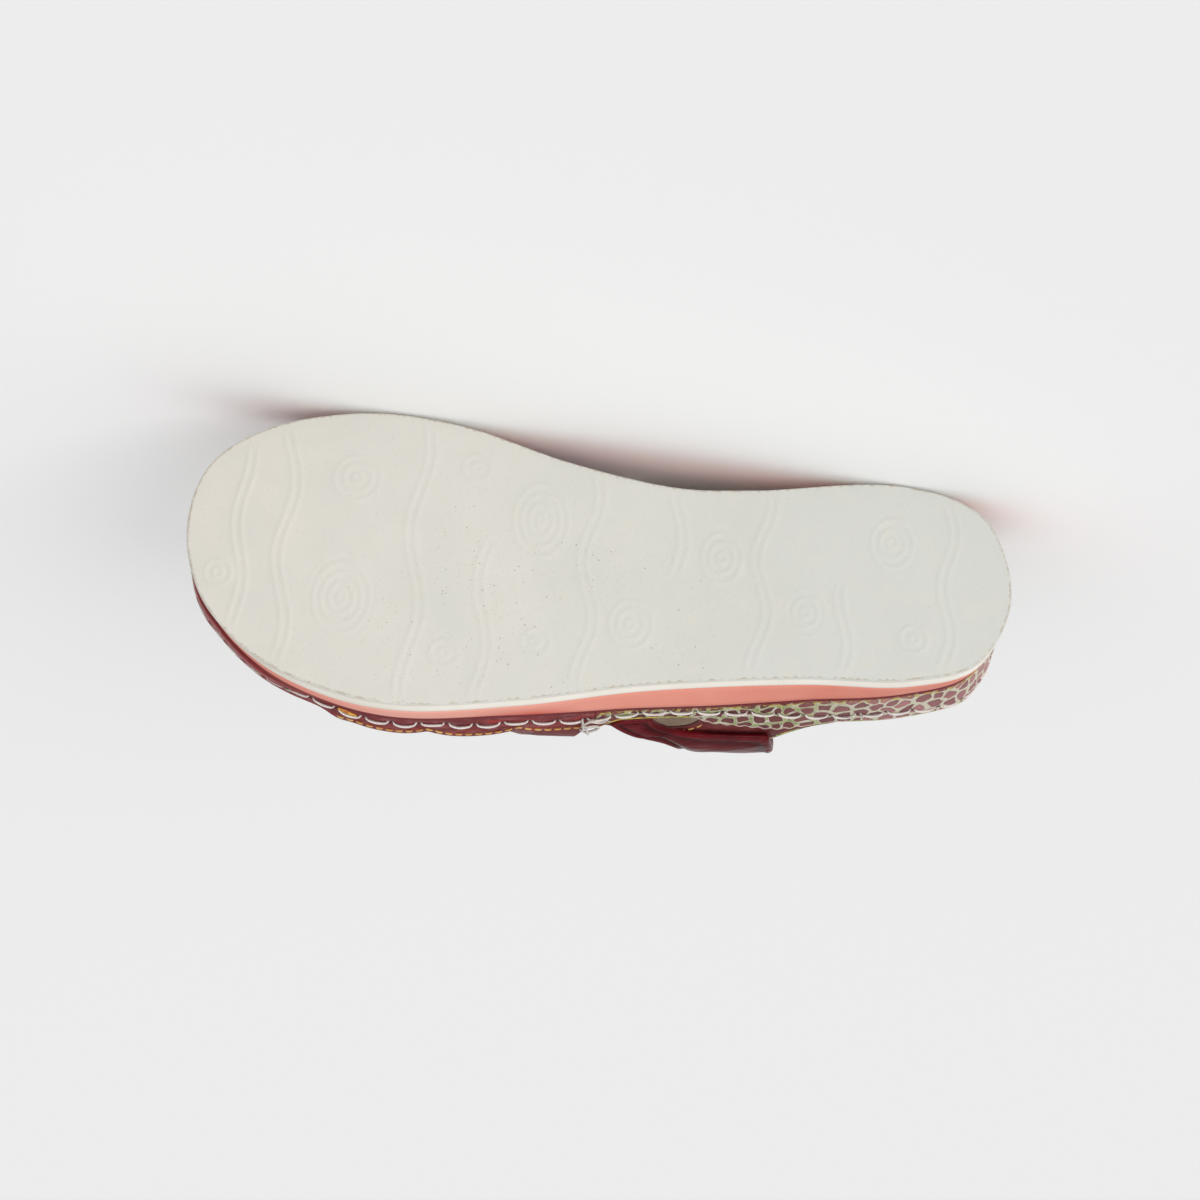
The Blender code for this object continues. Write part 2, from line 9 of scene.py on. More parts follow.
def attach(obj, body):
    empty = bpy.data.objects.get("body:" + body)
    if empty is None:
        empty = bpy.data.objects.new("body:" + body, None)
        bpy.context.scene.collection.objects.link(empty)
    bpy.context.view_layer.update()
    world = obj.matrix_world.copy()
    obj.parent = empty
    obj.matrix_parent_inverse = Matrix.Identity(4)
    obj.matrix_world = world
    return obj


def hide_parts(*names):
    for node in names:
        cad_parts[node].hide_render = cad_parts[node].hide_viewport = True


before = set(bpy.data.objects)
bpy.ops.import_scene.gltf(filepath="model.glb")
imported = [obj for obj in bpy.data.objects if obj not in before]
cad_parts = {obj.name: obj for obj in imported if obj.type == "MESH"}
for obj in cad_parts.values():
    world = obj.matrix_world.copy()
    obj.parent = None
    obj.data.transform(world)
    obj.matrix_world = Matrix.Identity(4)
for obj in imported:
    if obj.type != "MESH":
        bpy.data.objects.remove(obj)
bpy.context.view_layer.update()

# ------------------------------------------------------------------ how the shoe lies
# A right slide, measured standing, in millimetres: x from the heel back to the toe, y towards
# the big toe's side, z up from the tread. It lies on its inner side, turned and moved by LIE.
LIE = np.array([
    [0.9972505, 0.07409757, 0.00090525, -0.12892963],
    [0.0, -0.01221607, 0.99992532, -0.05120337],
    [0.07410309, -0.99717617, -0.01218248, 0.03245972],
])


def laid(points):
    """Standing millimetres to where they are on the floor, in metres."""
    spots = np.asarray(points, float) @ LIE[:, :3].T / 1000 + LIE[:, 3]
    spots[..., 2] = np.maximum(spots[..., 2], 0.0)
    return spots


# ------------------------------------------------------------------ outsole
# One moulded slab of cream rubber under the whole foot. Its tread is nearly worn smooth: low
# ridges of paired waves and rippled ovals, dust in the pores, and grime along the edge, which
# is also painted shade on the edge's rounding.
GAP = 0.3  # between pieces that lie on each other
OUTSOLE = 6.3
TREAD_EDGE, SIDE_HIGH = 0.5, 5.5  # the tread's rounded edge, and the plain side above it


def table(columns, *rows):
    """A table that is read by the names of its columns."""
    row_of = namedtuple("Row", columns)
    return [row_of(*row) for row in rows]


OUTLINE = table(
    "name x y",
    ("heel back", 0.0, 0.0), ("heel corner, medial", 9.5, 26.2),
    ("heel, medial", 35.0, 34.6), ("waist rear, medial", 82.0, 29.6),
    ("waist, medial", 106.0, 28.5), ("waist front, medial", 140.0, 34.2),
    ("ball rear, medial", 174.0, 43.6), ("ball, medial", 204.0, 46.1),
    ("toe side, medial", 236.0, 39.3), ("toe corner, medial", 252.6, 27.0),
    ("toe tip", 258.0, 6.5), ("toe corner, lateral", 251.4, -17.5),
    ("toe side, lateral", 232.5, -36.6), ("ball front, lateral", 210.0, -46.2),
    ("ball, lateral", 188.0, -49.5), ("waist front, lateral", 152.0, -45.3),
    ("waist, lateral", 112.0, -37.3), ("heel front, lateral", 64.0, -31.4),
    ("heel, lateral", 30.0, -29.4), ("heel corner, lateral", 9.5, -22.2),
)

# The tread's lift off the ground, the wedge's height, how far the outsole, the wedge and the
# bands stand out at the top, the bed's height above the wedge, and how deep it is dished.
SOLE = table(
    "x spring wedge tread_out wedge_out rim_out bed dish",
    (0, 0.0, 10.0, -0.3, -2.4, -1.2, 13.5, 7.0),
    (15, 0.0, 9.6, 0.0, -1.7, -1.4, 13.0, 7.5),
    (32, 0.0, 9.5, 0.2, -0.7, -0.7, 13.0, 8.0),
    (48, 0.0, 10.8, 0.2, 0.4, 0.0, 12.0, 8.4),
    (70, 0.0, 11.9, 0.2, 1.6, 2.1, 11.0, 8.0),
    (95, 0.0, 10.8, 0.2, 2.6, 2.3, 10.0, 6.0),
    (125, 0.0, 9.3, 0.2, 1.8, 1.7, 7.5, 4.5),
    (144, 0.0, 7.6, 0.2, 1.0, 1.2, 6.8, 3.2),
    (162, 0.0, 6.8, 0.2, 0.4, 0.9, 6.2, 2.2),
    (180, 0.0, 6.4, 0.2, 0.3, 0.7, 5.8, 2.0),
    (206, 1.0, 5.3, 0.2, 0.2, 0.3, 5.4, 1.8),
    (222, 2.4, 5.0, -0.3, -0.2, -1.1, 5.8, 2.2),
    (242, 5.0, 4.8, -1.0, -1.6, -2.0, 6.6, 2.5),
    (258, 7.5, 4.6, -2.0, -3.0, -2.2, 7.2, 2.4),
)


def fair(rows, column, key="x"):
    """A fair line through one column of a table, which never overshoots its rows."""
    at, height = (np.array([getattr(row, name) for row in rows], float) for name in (key, column))
    slope = np.diff(height) / np.diff(at)
    lean = np.concatenate([slope[:1], np.zeros(len(at) - 2), slope[-1:]])
    for i in range(1, len(at) - 1):
        if slope[i - 1] * slope[i] > 0:
            lean[i] = 2 * slope[i - 1] * slope[i] / (slope[i - 1] + slope[i])

    def line(x):
        x = np.clip(x, at[0], at[-1])
        i = np.clip(np.searchsorted(at, x) - 1, 0, len(at) - 2)
        width = at[i + 1] - at[i]
        t = (x - at[i]) / width
        low = (2 * t**3 - 3 * t**2 + 1) * height[i] + (t**3 - 2 * t**2 + t) * width * lean[i]
        high = (3 * t**2 - 2 * t**3) * height[i + 1] + (t**3 - t**2) * width * lean[i + 1]
        return low + high

    return line


def rounded(corners, steps):
    """A closed curve that passes smoothly through the corners."""
    corners = np.array(corners, float)
    found = []
    for i in range(len(corners)):
        a, b, c, d = (corners[(i + k) % len(corners)] for k in (-1, 0, 1, 2))
        t1 = math.sqrt(np.linalg.norm(b - a))
        t2 = t1 + math.sqrt(np.linalg.norm(c - b))
        t3 = t2 + math.sqrt(np.linalg.norm(d - c))
        t = np.linspace(t1, t2, steps, endpoint=False)[:, None]
        ab = (a * (t1 - t) + b * t) / t1
        bc = (b * (t2 - t) + c * (t - t1)) / (t2 - t1)
        cd = (c * (t3 - t) + d * (t - t2)) / (t3 - t2)
        ac = (ab * (t2 - t) + bc * t) / t2
        bd = (bc * (t3 - t) + cd * (t - t1)) / (t3 - t1)
        found.append((ac * (t2 - t) + bd * (t - t1)) / (t2 - t1))
    return np.vstack(found)


sole = {name: fair(SOLE, name) for name in SOLE[0]._fields[1:]}
curve = rounded([(place.x, place.y) for place in OUTLINE], 60)
tangent = np.roll(curve, -1, axis=0) - np.roll(curve, 1, axis=0)
normal = np.stack([-tangent[:, 1], tangent[:, 0]], axis=1)
normal /= np.linalg.norm(normal, axis=1)[:, None]
curve = np.hstack([curve, normal])
curve = np.roll(curve, -np.argmin(curve[:, 0]), axis=0)
toe = np.argmax(curve[:, 0])
SIDES = {1: curve[:toe + 1], -1: np.vstack([curve[:1], curve[:toe - 1:-1]])}  # 1 is medial


def walked_off(line):
    """How far each point of a line is from its start, measured along it."""
    return np.concatenate([[0], np.cumsum(np.hypot(*np.diff(line[:, :2], axis=0).T))])


def outline(x, side, out=0.0):
    """Points of the tread's outline at x on one side, pushed out square to it by `out`."""
    table = SIDES[side]
    y, nx, ny = (np.interp(x, table[:, 0], table[:, k]) for k in (1, 2, 3))
    return x + nx * out, y + ny * out


def stations(count):
    """Sections from heel back to toe tip, evenly spaced along the outer edge."""
    walked = walked_off(SIDES[-1])
    return np.interp(np.linspace(0, walked[-1], count + 1), walked, SIDES[-1][:, 0])


def hoop(xs, out, height):
    """A closed ring round the sole: heel back, medial side, toe tip, lateral side."""
    medial, lateral = (np.stack([*outline(xs, side, out), height], axis=1) for side in (1, -1))
    return np.vstack([medial, lateral[-2:0:-1]])


def spanned(ring, across, first):
    """A ring filled with straight rungs of points from its medial to its lateral side. Returns
    the points to add and the faces, which look down."""
    count, half = len(ring), len(ring) // 2
    shares = np.linspace(0, 1, across + 1)[1:-1]
    added, rows = [], [[first] * (across + 1)]
    for k in range(1, half):
        start, end = ring[k], ring[count - k]
        at = first + count + len(added) * len(shares)
        added.append(start + (end - start) * shares[:, None])
        rows.append([first + k, *range(at, at + len(shares)), first + count - k])
    rows.append([first + half] * (across + 1))
    faces = [
        tuple(dict.fromkeys((low[j], high[j], high[j + 1], low[j + 1])))
        for low, high in zip(rows, rows[1:]) for j in range(across)
    ]
    return np.vstack(added), faces


def built_up(rings, floor_rungs, lid_rungs):
    """A closed body of rings that lie one above the other. Returns its points and faces, and
    where its second ring and the points of its lid begin."""
    count = len(rings[0])
    floor, floor_faces = spanned(rings[0], floor_rungs, 0)
    start = count + len(floor)
    firsts = [0, *(start + level * count for level in range(len(rings) - 1))]
    lid, lid_faces = spanned(rings[-1], lid_rungs, firsts[-1])
    sides = [
        (low + k, high + k, high + (k + 1) % count, low + (k + 1) % count)
        for low, high in zip(firsts, firsts[1:]) for k in range(count)
    ]
    points = np.vstack([rings[0], floor, *rings[1:], lid])
    faces = floor_faces + sides + [face[::-1] for face in lid_faces]
    return points, faces, start, len(points) - len(lid)


def made(name, points, faces, materials, marks=None, face_material=None):
    """A smooth piece from standing millimetres. Marks are named values, one a point or a pair."""
    mesh = bpy.data.meshes.new(name)
    mesh.from_pydata(laid(points).tolist(), [], faces)
    for material in materials:
        mesh.materials.append(material)
    for mark_name, values in (marks or {}).items():
        values = np.asarray(values, np.float32)
        if values.ndim == 2:
            corner = np.empty(len(mesh.loops), np.int32)
            mesh.loops.foreach_get("vertex_index", corner)
            layer = mesh.uv_layers.new(name=mark_name)
            layer.data.foreach_set("uv", values[corner].ravel())
        else:
            layer = mesh.attributes.new(mark_name, "FLOAT", "POINT")
            layer.data.foreach_set("value", values)
    if face_material is not None:
        mesh.polygons.foreach_set("material_index", np.asarray(face_material, np.int32))
    mesh.shade_smooth()
    piece = bpy.data.objects.new(name, mesh)
    bpy.context.scene.collection.objects.link(piece)
    return piece


def painted(colour):
    """A colour as the eye reads it, 0 to 255, in the linear values that a shader takes. What
    comes from another node stays as it is."""
    if isinstance(colour, bpy.types.NodeSocket):
        return colour
    values = np.array(colour) / 255
    linear = np.where(values <= 0.04045, values / 12.92, ((values + 0.055) / 1.055) ** 2.4)
    return (*linear.tolist(), 1.0)


def add(beside, kind, sockets=(), **settings):
    """A node in the finish that `beside` belongs to, filled from values or other nodes."""
    tree = beside.id_data
    node = tree.nodes.new("ShaderNode" + kind)
    for key, value in settings.items():
        setattr(node, key, value)
    for key, value in dict(sockets).items():
        if isinstance(value, bpy.types.NodeSocket):
            tree.links.new(value, node.inputs[key])
        else:
            node.inputs[key].default_value = value
    return node


def finish_named(name, colour, roughness, shine=0.5):
    """A new finish: its material, its shader, and the place of each spot on the floor."""
    material = bpy.data.materials.new(name)
    material.use_nodes = True
    shader = material.node_tree.nodes["Principled BSDF"]
    shader.inputs["Base Color"].default_value = painted(colour)
    shader.inputs["Roughness"].default_value = roughness
    shader.inputs["Specular IOR Level"].default_value = shine
    return material, shader, add(shader, "TexCoord").outputs["Object"]


def mark(shader, name):
    return add(shader, "Attribute", attribute_name=name).outputs["Fac"]


def mixed(share, low, high):
    """From the low colour to the high one as share goes from 0 to 1."""
    sockets = {0: share, 6: painted(low), 7: painted(high)}
    return add(share, "Mix", sockets, data_type="RGBA").outputs[2]


def coated(colour, *coats):
    """A colour under coats of others, each with the share that it covers."""
    for share, over in coats:
        colour = mixed(share, colour, over)
    return colour


def dye(shader, colour):
    shader.id_data.links.new(colour, shader.inputs["Base Color"])


def worked(operation, a, b=0.0):
    return add(a, "Math", {0: a, 1: b}, operation=operation).outputs[0]


def times(share, *others):
    """Shares multiplied with each other."""
    for other in others:
        share = worked("MULTIPLY", share, other)
    return share


def between(value, low, high):
    """0 where the value is at or under low, 1 at or over high."""
    return add(value, "MapRange", {0: value, 1: low, 2: high}).outputs[0]


def within(value, rise, fall):
    """0, then from 0 to 1 over the rise, and back to 0 over the fall."""
    return times(between(value, *rise), between(value, *fall))


def cloud(where, scale, low=0.3, high=0.7, detail=3.0, roughness=0.55):
    """Cloudy patches, 0 to 1, with about that many in a metre, or in a millimetre of a map."""
    noise = {"Vector": where, "Scale": scale, "Detail": detail, "Roughness": roughness}
    return between(add(where, "TexNoise", noise).outputs[0], low, high)


def cells(where, scale, randomness=1.0, **settings):
    """Small cells like grain or scales, as many as in a cloud of that scale."""
    sockets = {"Vector": where, "Scale": scale, "Randomness": randomness}
    return add(where, "TexVoronoi", sockets, **settings).outputs


def bumped(shader, height, depth, under=None):
    """Lifts the surface by up to depth, in metres, where height is 1."""
    sockets = {"Height": height, "Distance": depth, "Strength": 1.0}
    if under is not None:
        sockets["Normal"] = under
    bump = add(shader, "Bump", sockets).outputs[0]
    shader.id_data.links.new(bump, shader.inputs["Normal"])
    return bump


# A pair of waves runs across the sole at x, from low to high. An oval ends at its reach.
WAVES = table(
    "x swing length turn low high",
    (241.0, 1.6, 41, 0.2, -30, 34), (227.0, 2.2, 46, 1.9, -60, 60),
    (186.0, 2.4, 52, 0.6, -60, 60), (164.0, 2.0, 44, 2.6, -60, 8),
    (132.0, 2.3, 40, 1.2, -60, 60), (105.0, 1.9, 38, 3.0, -2, 60), (78.0, 2.2, 36, 0.4, -60, 60),
    (52.0, 1.8, 34, 2.2, -60, 2), (20.0, 1.7, 33, 1.1, -60, 60),
)
WAVE_SPREAD, WAVE_END = 1.45, 4  # half the way between a pair's ridges, and how long they fade
RIPPLES = table(
    "x y reach stretch",
    (208, -16, 13.5, 1.15), (206, 24, 8.5, 1.0), (247, -9, 5.5, 1.0), (148, 14, 12.0, 1.2),
    (175, -32, 7.0, 1.0), (169, 30, 6.0, 1.0), (118, -18, 9.5, 1.1), (91, 6, 9.0, 1.15),
    (64, -10, 8.0, 1.1), (38, 15, 10.5, 1.1), (30, -16, 6.5, 1.0), (147, -26, 5.5, 1.0),
)
RIPPLE_STEP = 2.9  # from one ridge of an oval to the next
RIPPLE_END, RIPPLE_CLEAR = 1.5, 2  # an oval's soft edge, and the waves' soft edge round it
RIDGE_HALF, RIDGE_HEIGHT = 0.62, 0.24


def tread_relief(x, y):
    """How far the tread stands proud, in millimetres."""
    relief = np.zeros_like(x)
    for wave in WAVES:
        turn = 2 * math.pi * y / wave.length + wave.turn
        middle = wave.x + wave.swing * np.sin(turn)
        slope = wave.swing * 2 * math.pi / wave.length * np.cos(turn)
        ends = np.clip((y - wave.low) / WAVE_END, 0, 1) * np.clip((wave.high - y) / WAVE_END, 0, 1)
        for shift in (-WAVE_SPREAD, WAVE_SPREAD):
            off = (x - middle - shift) / np.sqrt(1 + slope**2)
            relief = np.maximum(relief, np.exp(-(off / RIDGE_HALF) ** 2) * ends)
    for ripple in RIPPLES:
        reach = np.hypot((x - ripple.x) * ripple.stretch, (y - ripple.y) / ripple.stretch)
        off = (np.abs((reach / RIPPLE_STEP) % 1 - 0.5)) * RIPPLE_STEP
        inside = np.clip((ripple.reach - reach) / RIPPLE_END, 0, 1)
        clear = np.clip((reach - ripple.reach) / RIPPLE_CLEAR, 0, 1)
        relief = np.maximum(relief * clear, np.exp(-(off / RIDGE_HALF) ** 2) * inside)
    return relief * RIDGE_HEIGHT


TREAD_RUNGS, BATCH = 165, 4000
PLAIN_RIM, RIM_FADE = 1.5, 3.5  # the tread is plain along its edge, then its relief fades in
SIDE_MARKS = (-0.05, -0.15)  # edge_way on the first rings of the side; it is -1 above them
xs = stations(440)
spring, out = sole["spring"](xs), sole["tread_out"](xs)
rings = [hoop(xs, -TREAD_EDGE, spring), hoop(xs, -0.18, spring + 0.12),
         hoop(xs, 0.0, spring + TREAD_EDGE)]
for share in (0.25, 0.5, 0.75, 0.96):
    rings.append(hoop(xs, out * share, spring + TREAD_EDGE + SIDE_HIGH * share))
rings.append(hoop(xs, out - 0.3, spring + OUTSOLE - GAP))
points, faces, start, _ = built_up(rings, TREAD_RUNGS, 3)
edge = np.vstack([SIDES[1][:, :2], SIDES[-1][::-1, :2]])[::4]
edge_way = np.full(len(points), -1.0)
for begin in range(0, start, BATCH):
    part = points[begin:min(begin + BATCH, start), :2, None]
    edge_way[begin:begin + len(part)] = np.hypot(part[:, 0] - edge[:, 0],
                                                 part[:, 1] - edge[:, 1]).min(axis=1)
for level, value in enumerate(SIDE_MARKS):
    edge_way[start + level * len(rings[0]):start + (level + 1) * len(rings[0])] = value
fade = np.clip((edge_way[:start] - PLAIN_RIM) / RIM_FADE, 0, 1)
points[:start, 2] -= tread_relief(points[:start, 0], points[:start, 1]) * fade

rubber, shader, where = finish_named("cream_rubber", (199, 199, 190), 0.68, 0.32)
way = mark(shader, "edge_way")
along, _, across = add(where, "SeparateXYZ", {0: where}).outputs
colour = coated(
    mixed(between(along, -0.07, 0.12), (201, 202, 196), (213, 208, 199)),
    (times(cloud(where, 34, 0.35, 0.75), 0.6), (198, 198, 190)),
    (cloud(where, 120, 0.5, 0.85), (207, 203, 193)),
)
trodden = times(within(along, (-0.06, -0.02), (0.095, 0.05)), between(across, 0.012, 0.045),
                cloud(where, 40, 0.34, 0.6))
for per_metre, share, dust in ((1700.0, 0.80, (158, 152, 132)),
                               (900.0, 0.93, (128, 114, 88))):
    grime = cells(where, per_metre)
    chance = add(where, "SeparateColor", {0: grime["Color"]}).outputs[0]
    chance = worked("ADD", chance, times(trodden, 0.20))
    specks = between(grime["Distance"], 0.26, 0.14)
    specks = times(specks, between(chance, share + 0.08, share + 0.16), 0.7)
    colour = mixed(specks, colour, dust)
# Grime along the tread's edge, dark enough to also be painted shade that tones down the edge's
# highlight.
brink = times(within(way, (-0.1, 0.2), (1.1, 0.6)), cloud(where, 330, 0.36, 0.6), 0.6)
# The plain side is painted lighter than the tread: painted light, where it faces up to the lamps.
side_painted_lighter = mixed(cloud(where, 60, 0.35, 0.7), (246, 241, 231), (238, 232, 220))
dye(shader, coated(colour, (brink, (158, 140, 112)), (between(way, -0.2, -0.8), side_painted_lighter)))
pores = add(where, "TexNoise", {"Vector": where, "Scale": 1900.0, "Detail": 2.0}).outputs[0]
bumped(shader, pores, 0.00005)

tread = made("outsole_rubber", points, faces, [rubber], {"edge_way": edge_way})
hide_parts("outsole")
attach(tread, "root")

# ------------------------------------------------------------------ midsole
# A wedge of dense coral foam, cut and buffed, so it is matt with fine pores. It is thick under
# the heel and waist. Some dye has run from the leather onto it beside the ball, and round the
# toes its upper half is dyed like the leather.
WEDGE_BULGE, WEDGE_ROUND = 0.12, 0.35  # its side swells by one, its edges draw in by the other


def wedge_base(x):
    return sole["spring"](x) + OUTSOLE


def wedge_top(x):
    return wedge_base(x) + sole["wedge"](x)


def wedge_side(x, share):
    """How far out the wedge's side is; it is drawn in where its edges are rounded."""
    edge_in = WEDGE_ROUND if share in (0, 1) else 0
    return (sole["tread_out"](x) * (1 - share) + sole["wedge_out"](x) * share
            + WEDGE_BULGE * math.sin(math.pi * share) - edge_in)


xs = stations(240)
levels = (0.0, 0.035, 0.2, 0.4, 0.6, 0.8, 0.965, 1.0)
rings = [
    hoop(xs, wedge_side(xs, share), wedge_base(xs) + sole["wedge"](xs) * share) for share in levels
]
points, faces, start, lid = built_up(rings, 3, 3)
height = np.ones(len(points))
height[:lid] = np.concatenate([np.zeros(start), np.repeat(levels[1:], len(rings[0]))])

foam, shader, where = finish_named("coral_foam", (223, 140, 121), 0.72, 0.3)
up = mark(shader, "height")
along = add(where, "SeparateXYZ", {0: where}).outputs[0]
run = times(within(along, (-0.002, 0.012), (0.034, 0.014)), between(up, 0.25, 0.95))
rub = times(between(up, 0.8, 1.0), cloud(where, 80, 0.4, 0.6), 0.55)
dye_line = add(along, "MapRange", {0: along, 1: 0.056, 2: 0.1, 3: 1.0, 4: 0.38}).outputs[0]
dye(shader, coated(
    mixed(cloud(where, 45, 0.35, 0.7), (219, 134, 115), (224, 146, 129)),
    (between(along, -0.035, 0.05), (234, 168, 153)),
    (between(along, 0.06, 0.09), (232, 148, 132)),
    (run, (203, 84, 66)),
    (rub, (204, 108, 90)),
    (between(worked("SUBTRACT", up, dye_line), -0.05, 0.05), (144, 62, 58)),
))
bumped(shader, cells(where, 1500.0)["Distance"], 0.00008)

wedge = made("midsole_foam", points, faces, [foam], {"height": height})
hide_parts("midsole")
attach(wedge, "root")

# ------------------------------------------------------------------ rim bands
# Two strips of leather stand round the wedge like a low wall, stuck to its top edge and closed
# by a hand-laced cord. Where the band is walked off: s goes from the heel back along the outer
# side to the toe and home along the inner side, and v goes up from the band's foot.
BAND_SPLIT = 127.0  # the bands are joined here on both sides
BUTT = 0.03  # each band stops this short of the join
RIM_WALL = 2.0
RIM_STEP = 0.3  # the band's foot stands this far inside the wedge's edge
TOE_SWELL, TOE_LEAN, TIP_SWELL = 1.25, 0.9, 1.2
TOES, TIP, HEEL, CORNER = (216, 238), (246, 255), (66, 84), (3, 18)
HEEL_EASE, CORNER_EASE = 0.85, 0.75  # the band is walked outwards beside the heel
RIM = table(
    "x height",
    (0, 21.5), (15, 21.5), (32, 22.3), (48, 22.4), (58, 24.2), (67, 24.6), (79, 22.6),
    (90, 18.6), (96, 12.2), (104, 11.3), (118, 11.6), (127, 18.0), (144, 18.0), (162, 18.4),
    (180, 16.0), (206, 12.7), (213, 8.4), (222, 10.2), (242, 11.0), (258, 10.6),
)
SCALLOP_PITCH, SCALLOP_DIP, SCALLOP_DEPTH, SCALLOP_POINT = 28.0, 178.4, 4.5, 1.5
SCALLOPED = (134.0, 142.0, 198.0, 206.0)  # the scallops fade in and out between these

walk = np.vstack([SIDES[-1], SIDES[1][-2::-1]])
walked = walked_off(walk)
ROUND = walked[-1]
outer_half = walked[len(SIDES[-1]) - 1]


def walk_to(x, side):
    """How far round the walk x is, on the outer side, -1, or on the inner side, 1."""
    if side < 0:
        return np.interp(x, SIDES[-1][:, 0], walked[:len(SIDES[-1])])
    home = walked[len(SIDES[-1]) - 1:] - outer_half
    return outer_half + np.interp(-x, -SIDES[1][::-1, 0], home)


def place_on_walk(s):
    return [np.interp(np.mod(s, ROUND), walked, walk[:, k]) for k in range(4)]


def smooth_step(low, high, x):
    t = np.clip((x - low) / (high - low), 0.0, 1.0)
    return t * t * (3 - 2 * t)


def stretch(x, rise, full, ebb, end):
    """0, eased up to 1 from rise to full, and eased back to 0 from ebb to end."""
    return smooth_step(rise, full, x) * (1 - smooth_step(ebb, end, x))


rim_rise = fair(RIM, "height")


def rim_top(x):
    dip = 1.0 - np.abs(np.sin(math.pi * (x - SCALLOP_DIP) / SCALLOP_PITCH))
    scallop = SCALLOP_DEPTH * dip**SCALLOP_POINT * stretch(x, *SCALLOPED)
    return wedge_top(x) + rim_rise(x) - scallop


def rim_height(x):
    return rim_top(x) - wedge_top(x) - GAP


def rim_face(x, share):
    """How far out a band's face is. Round the toes its foot swells and it leans back in."""
    foot = sole["wedge_out"](x) - RIM_STEP
    toe_lean = smooth_step(*TOES, x) * (TOE_SWELL - TOE_LEAN * share)
    toe_lean = toe_lean + TIP_SWELL * smooth_step(*TIP, x)
    return foot + (sole["rim_out"](x) - foot) * share + toe_lean


def on_band(s, v, lift=0.0):
    """Points of a band's outer face, v up from its foot, lifted off the leather."""
    x, y, nx, ny = place_on_walk(s)
    share = np.clip(v / rim_height(x), 0, 1)
    eased = HEEL_EASE * share * (1 - smooth_step(*HEEL, x)) * np.clip(0.25 - ny, 0, 1)
    eased = eased * (1 + CORNER_EASE * (1 - smooth_step(*CORNER, x)))
    out = rim_face(x, share) + eased + lift
    return np.stack([x + nx * out, y + ny * out, wedge_top(x) + GAP + v], axis=-1)


# The lacing runs at this height above the bands' foot.
LACE = table(
    "x v",
    (0, 18.6), (12, 18.4), (22, 17.4), (31, 15.4), (40, 15.0), (48, 15.8), (57, 14.8),
    (66, 12.0), (75, 9.5), (84, 8.1), (92, 6.4), (101, 4.9), (110, 4.8), (120, 6.6), (134, 8.4),
    (143, 7.3), (151, 6.0), (159, 7.8), (168, 7.2), (177, 4.2), (186, 6.0), (194, 5.4),
    (203, 4.6), (211, 2.6), (218, 3.4), (226, 6.0), (240, 7.4), (258, 7.6),
)
LACE_PITCH, LACE_FIRST = 8.7, 0.57  # the pitch is rounded so that whole stitches go round
LACE_GAP, LACE_SAG, LACE_HANG = 1.15, 0.85, 0.55  # between stitches, and how each is bowed
PUCKER, PUCKER_DEEP = 0.7, 0.4  # round each lacing hole
lace_height = fair(LACE, "v")
lace_count = round(ROUND / LACE_PITCH)
lace_step = ROUND / lace_count
lace_stops = LACE_FIRST + np.arange(lace_count) * lace_step
LACE_HOLES = np.concatenate([lace_stops + sign * (LACE_GAP / 2 - 0.1) for sign in (-1, 1)])


def pucker(s, v):
    """1 in a lacing hole, falling off round it."""
    near = np.zeros(np.broadcast(s, v).shape)
    for hole in LACE_HOLES:
        way = np.mod(s - hole + ROUND / 2, ROUND) - ROUND / 2
        lift = v - (lace_height(place_on_walk(hole)[0]) - LACE_SAG * LACE_HANG)
        near = np.maximum(near, np.exp(-(way**2 + lift**2) / PUCKER**2))
    return near


# Round a band's section: the share of its height, and how deep behind its face.
BAND_PROFILE = (
    (0.0, 0.55), (0.012, 0.2), (0.035, 0.0),
    *((share, 0.0) for share in np.linspace(0.08, 0.93, 20)),
    (0.965, 0.03), (0.985, 0.16), (0.997, 0.45), (1.0, 1.0),
    (0.997, 1.55), (0.98, 1.85), (0.95, 2.0), (0.6, 2.0),
    (0.3, 2.0), (0.0, 2.0),
)
CRINKLE = 0.06


def strip_faces(rows, size, first=0):
    """Faces of a closed strip or thread of so many rows, and its two ends."""
    last = first + (rows - 1) * size
    faces = [
        (row + j, row + (j + 1) % size, row + size + (j + 1) % size, row + size + j)
        for row in range(first, last, size) for j in range(size)
    ]
    return faces + [tuple(range(first, first + size))[::-1], tuple(range(last, last + size))]


def band(name, first, last, step, material, teeth=None):
    """The standing strip from s = first to last, its top edge rounded and its holes drawn in."""
    stops = np.linspace(first, last, int(abs(last - first) / step) + 1)
    share, depth = np.array(BAND_PROFILE).T[:, None]
    s = stops[:, None] + 0 * share
    x = place_on_walk(s)[0]
    high = rim_height(x) + (teeth(s) if teeth else 0)
    v = share * high
    face = depth < 0.01
    hole = pucker(s, v) * face
    crinkle = CRINKLE * np.sin(s * 1.7 + 2.0 * np.sin(v * 0.9)) * np.sin(v * 1.3 + s * 0.35)
    out = on_band(s, v, -depth + (crinkle - PUCKER_DEEP * hole) * face)
    marks = {"walked": np.stack([s.ravel(), v.ravel()], axis=1), "hole": hole.ravel(),
             "under_top": (high - v).ravel(), "up": v.ravel(), "toe_way": x.ravel(),
             "inside": (depth + 0 * s).ravel()}
    faces = strip_faces(len(stops), len(BAND_PROFILE))
    return made(name, out.reshape(-1, 3), faces, [material], marks)


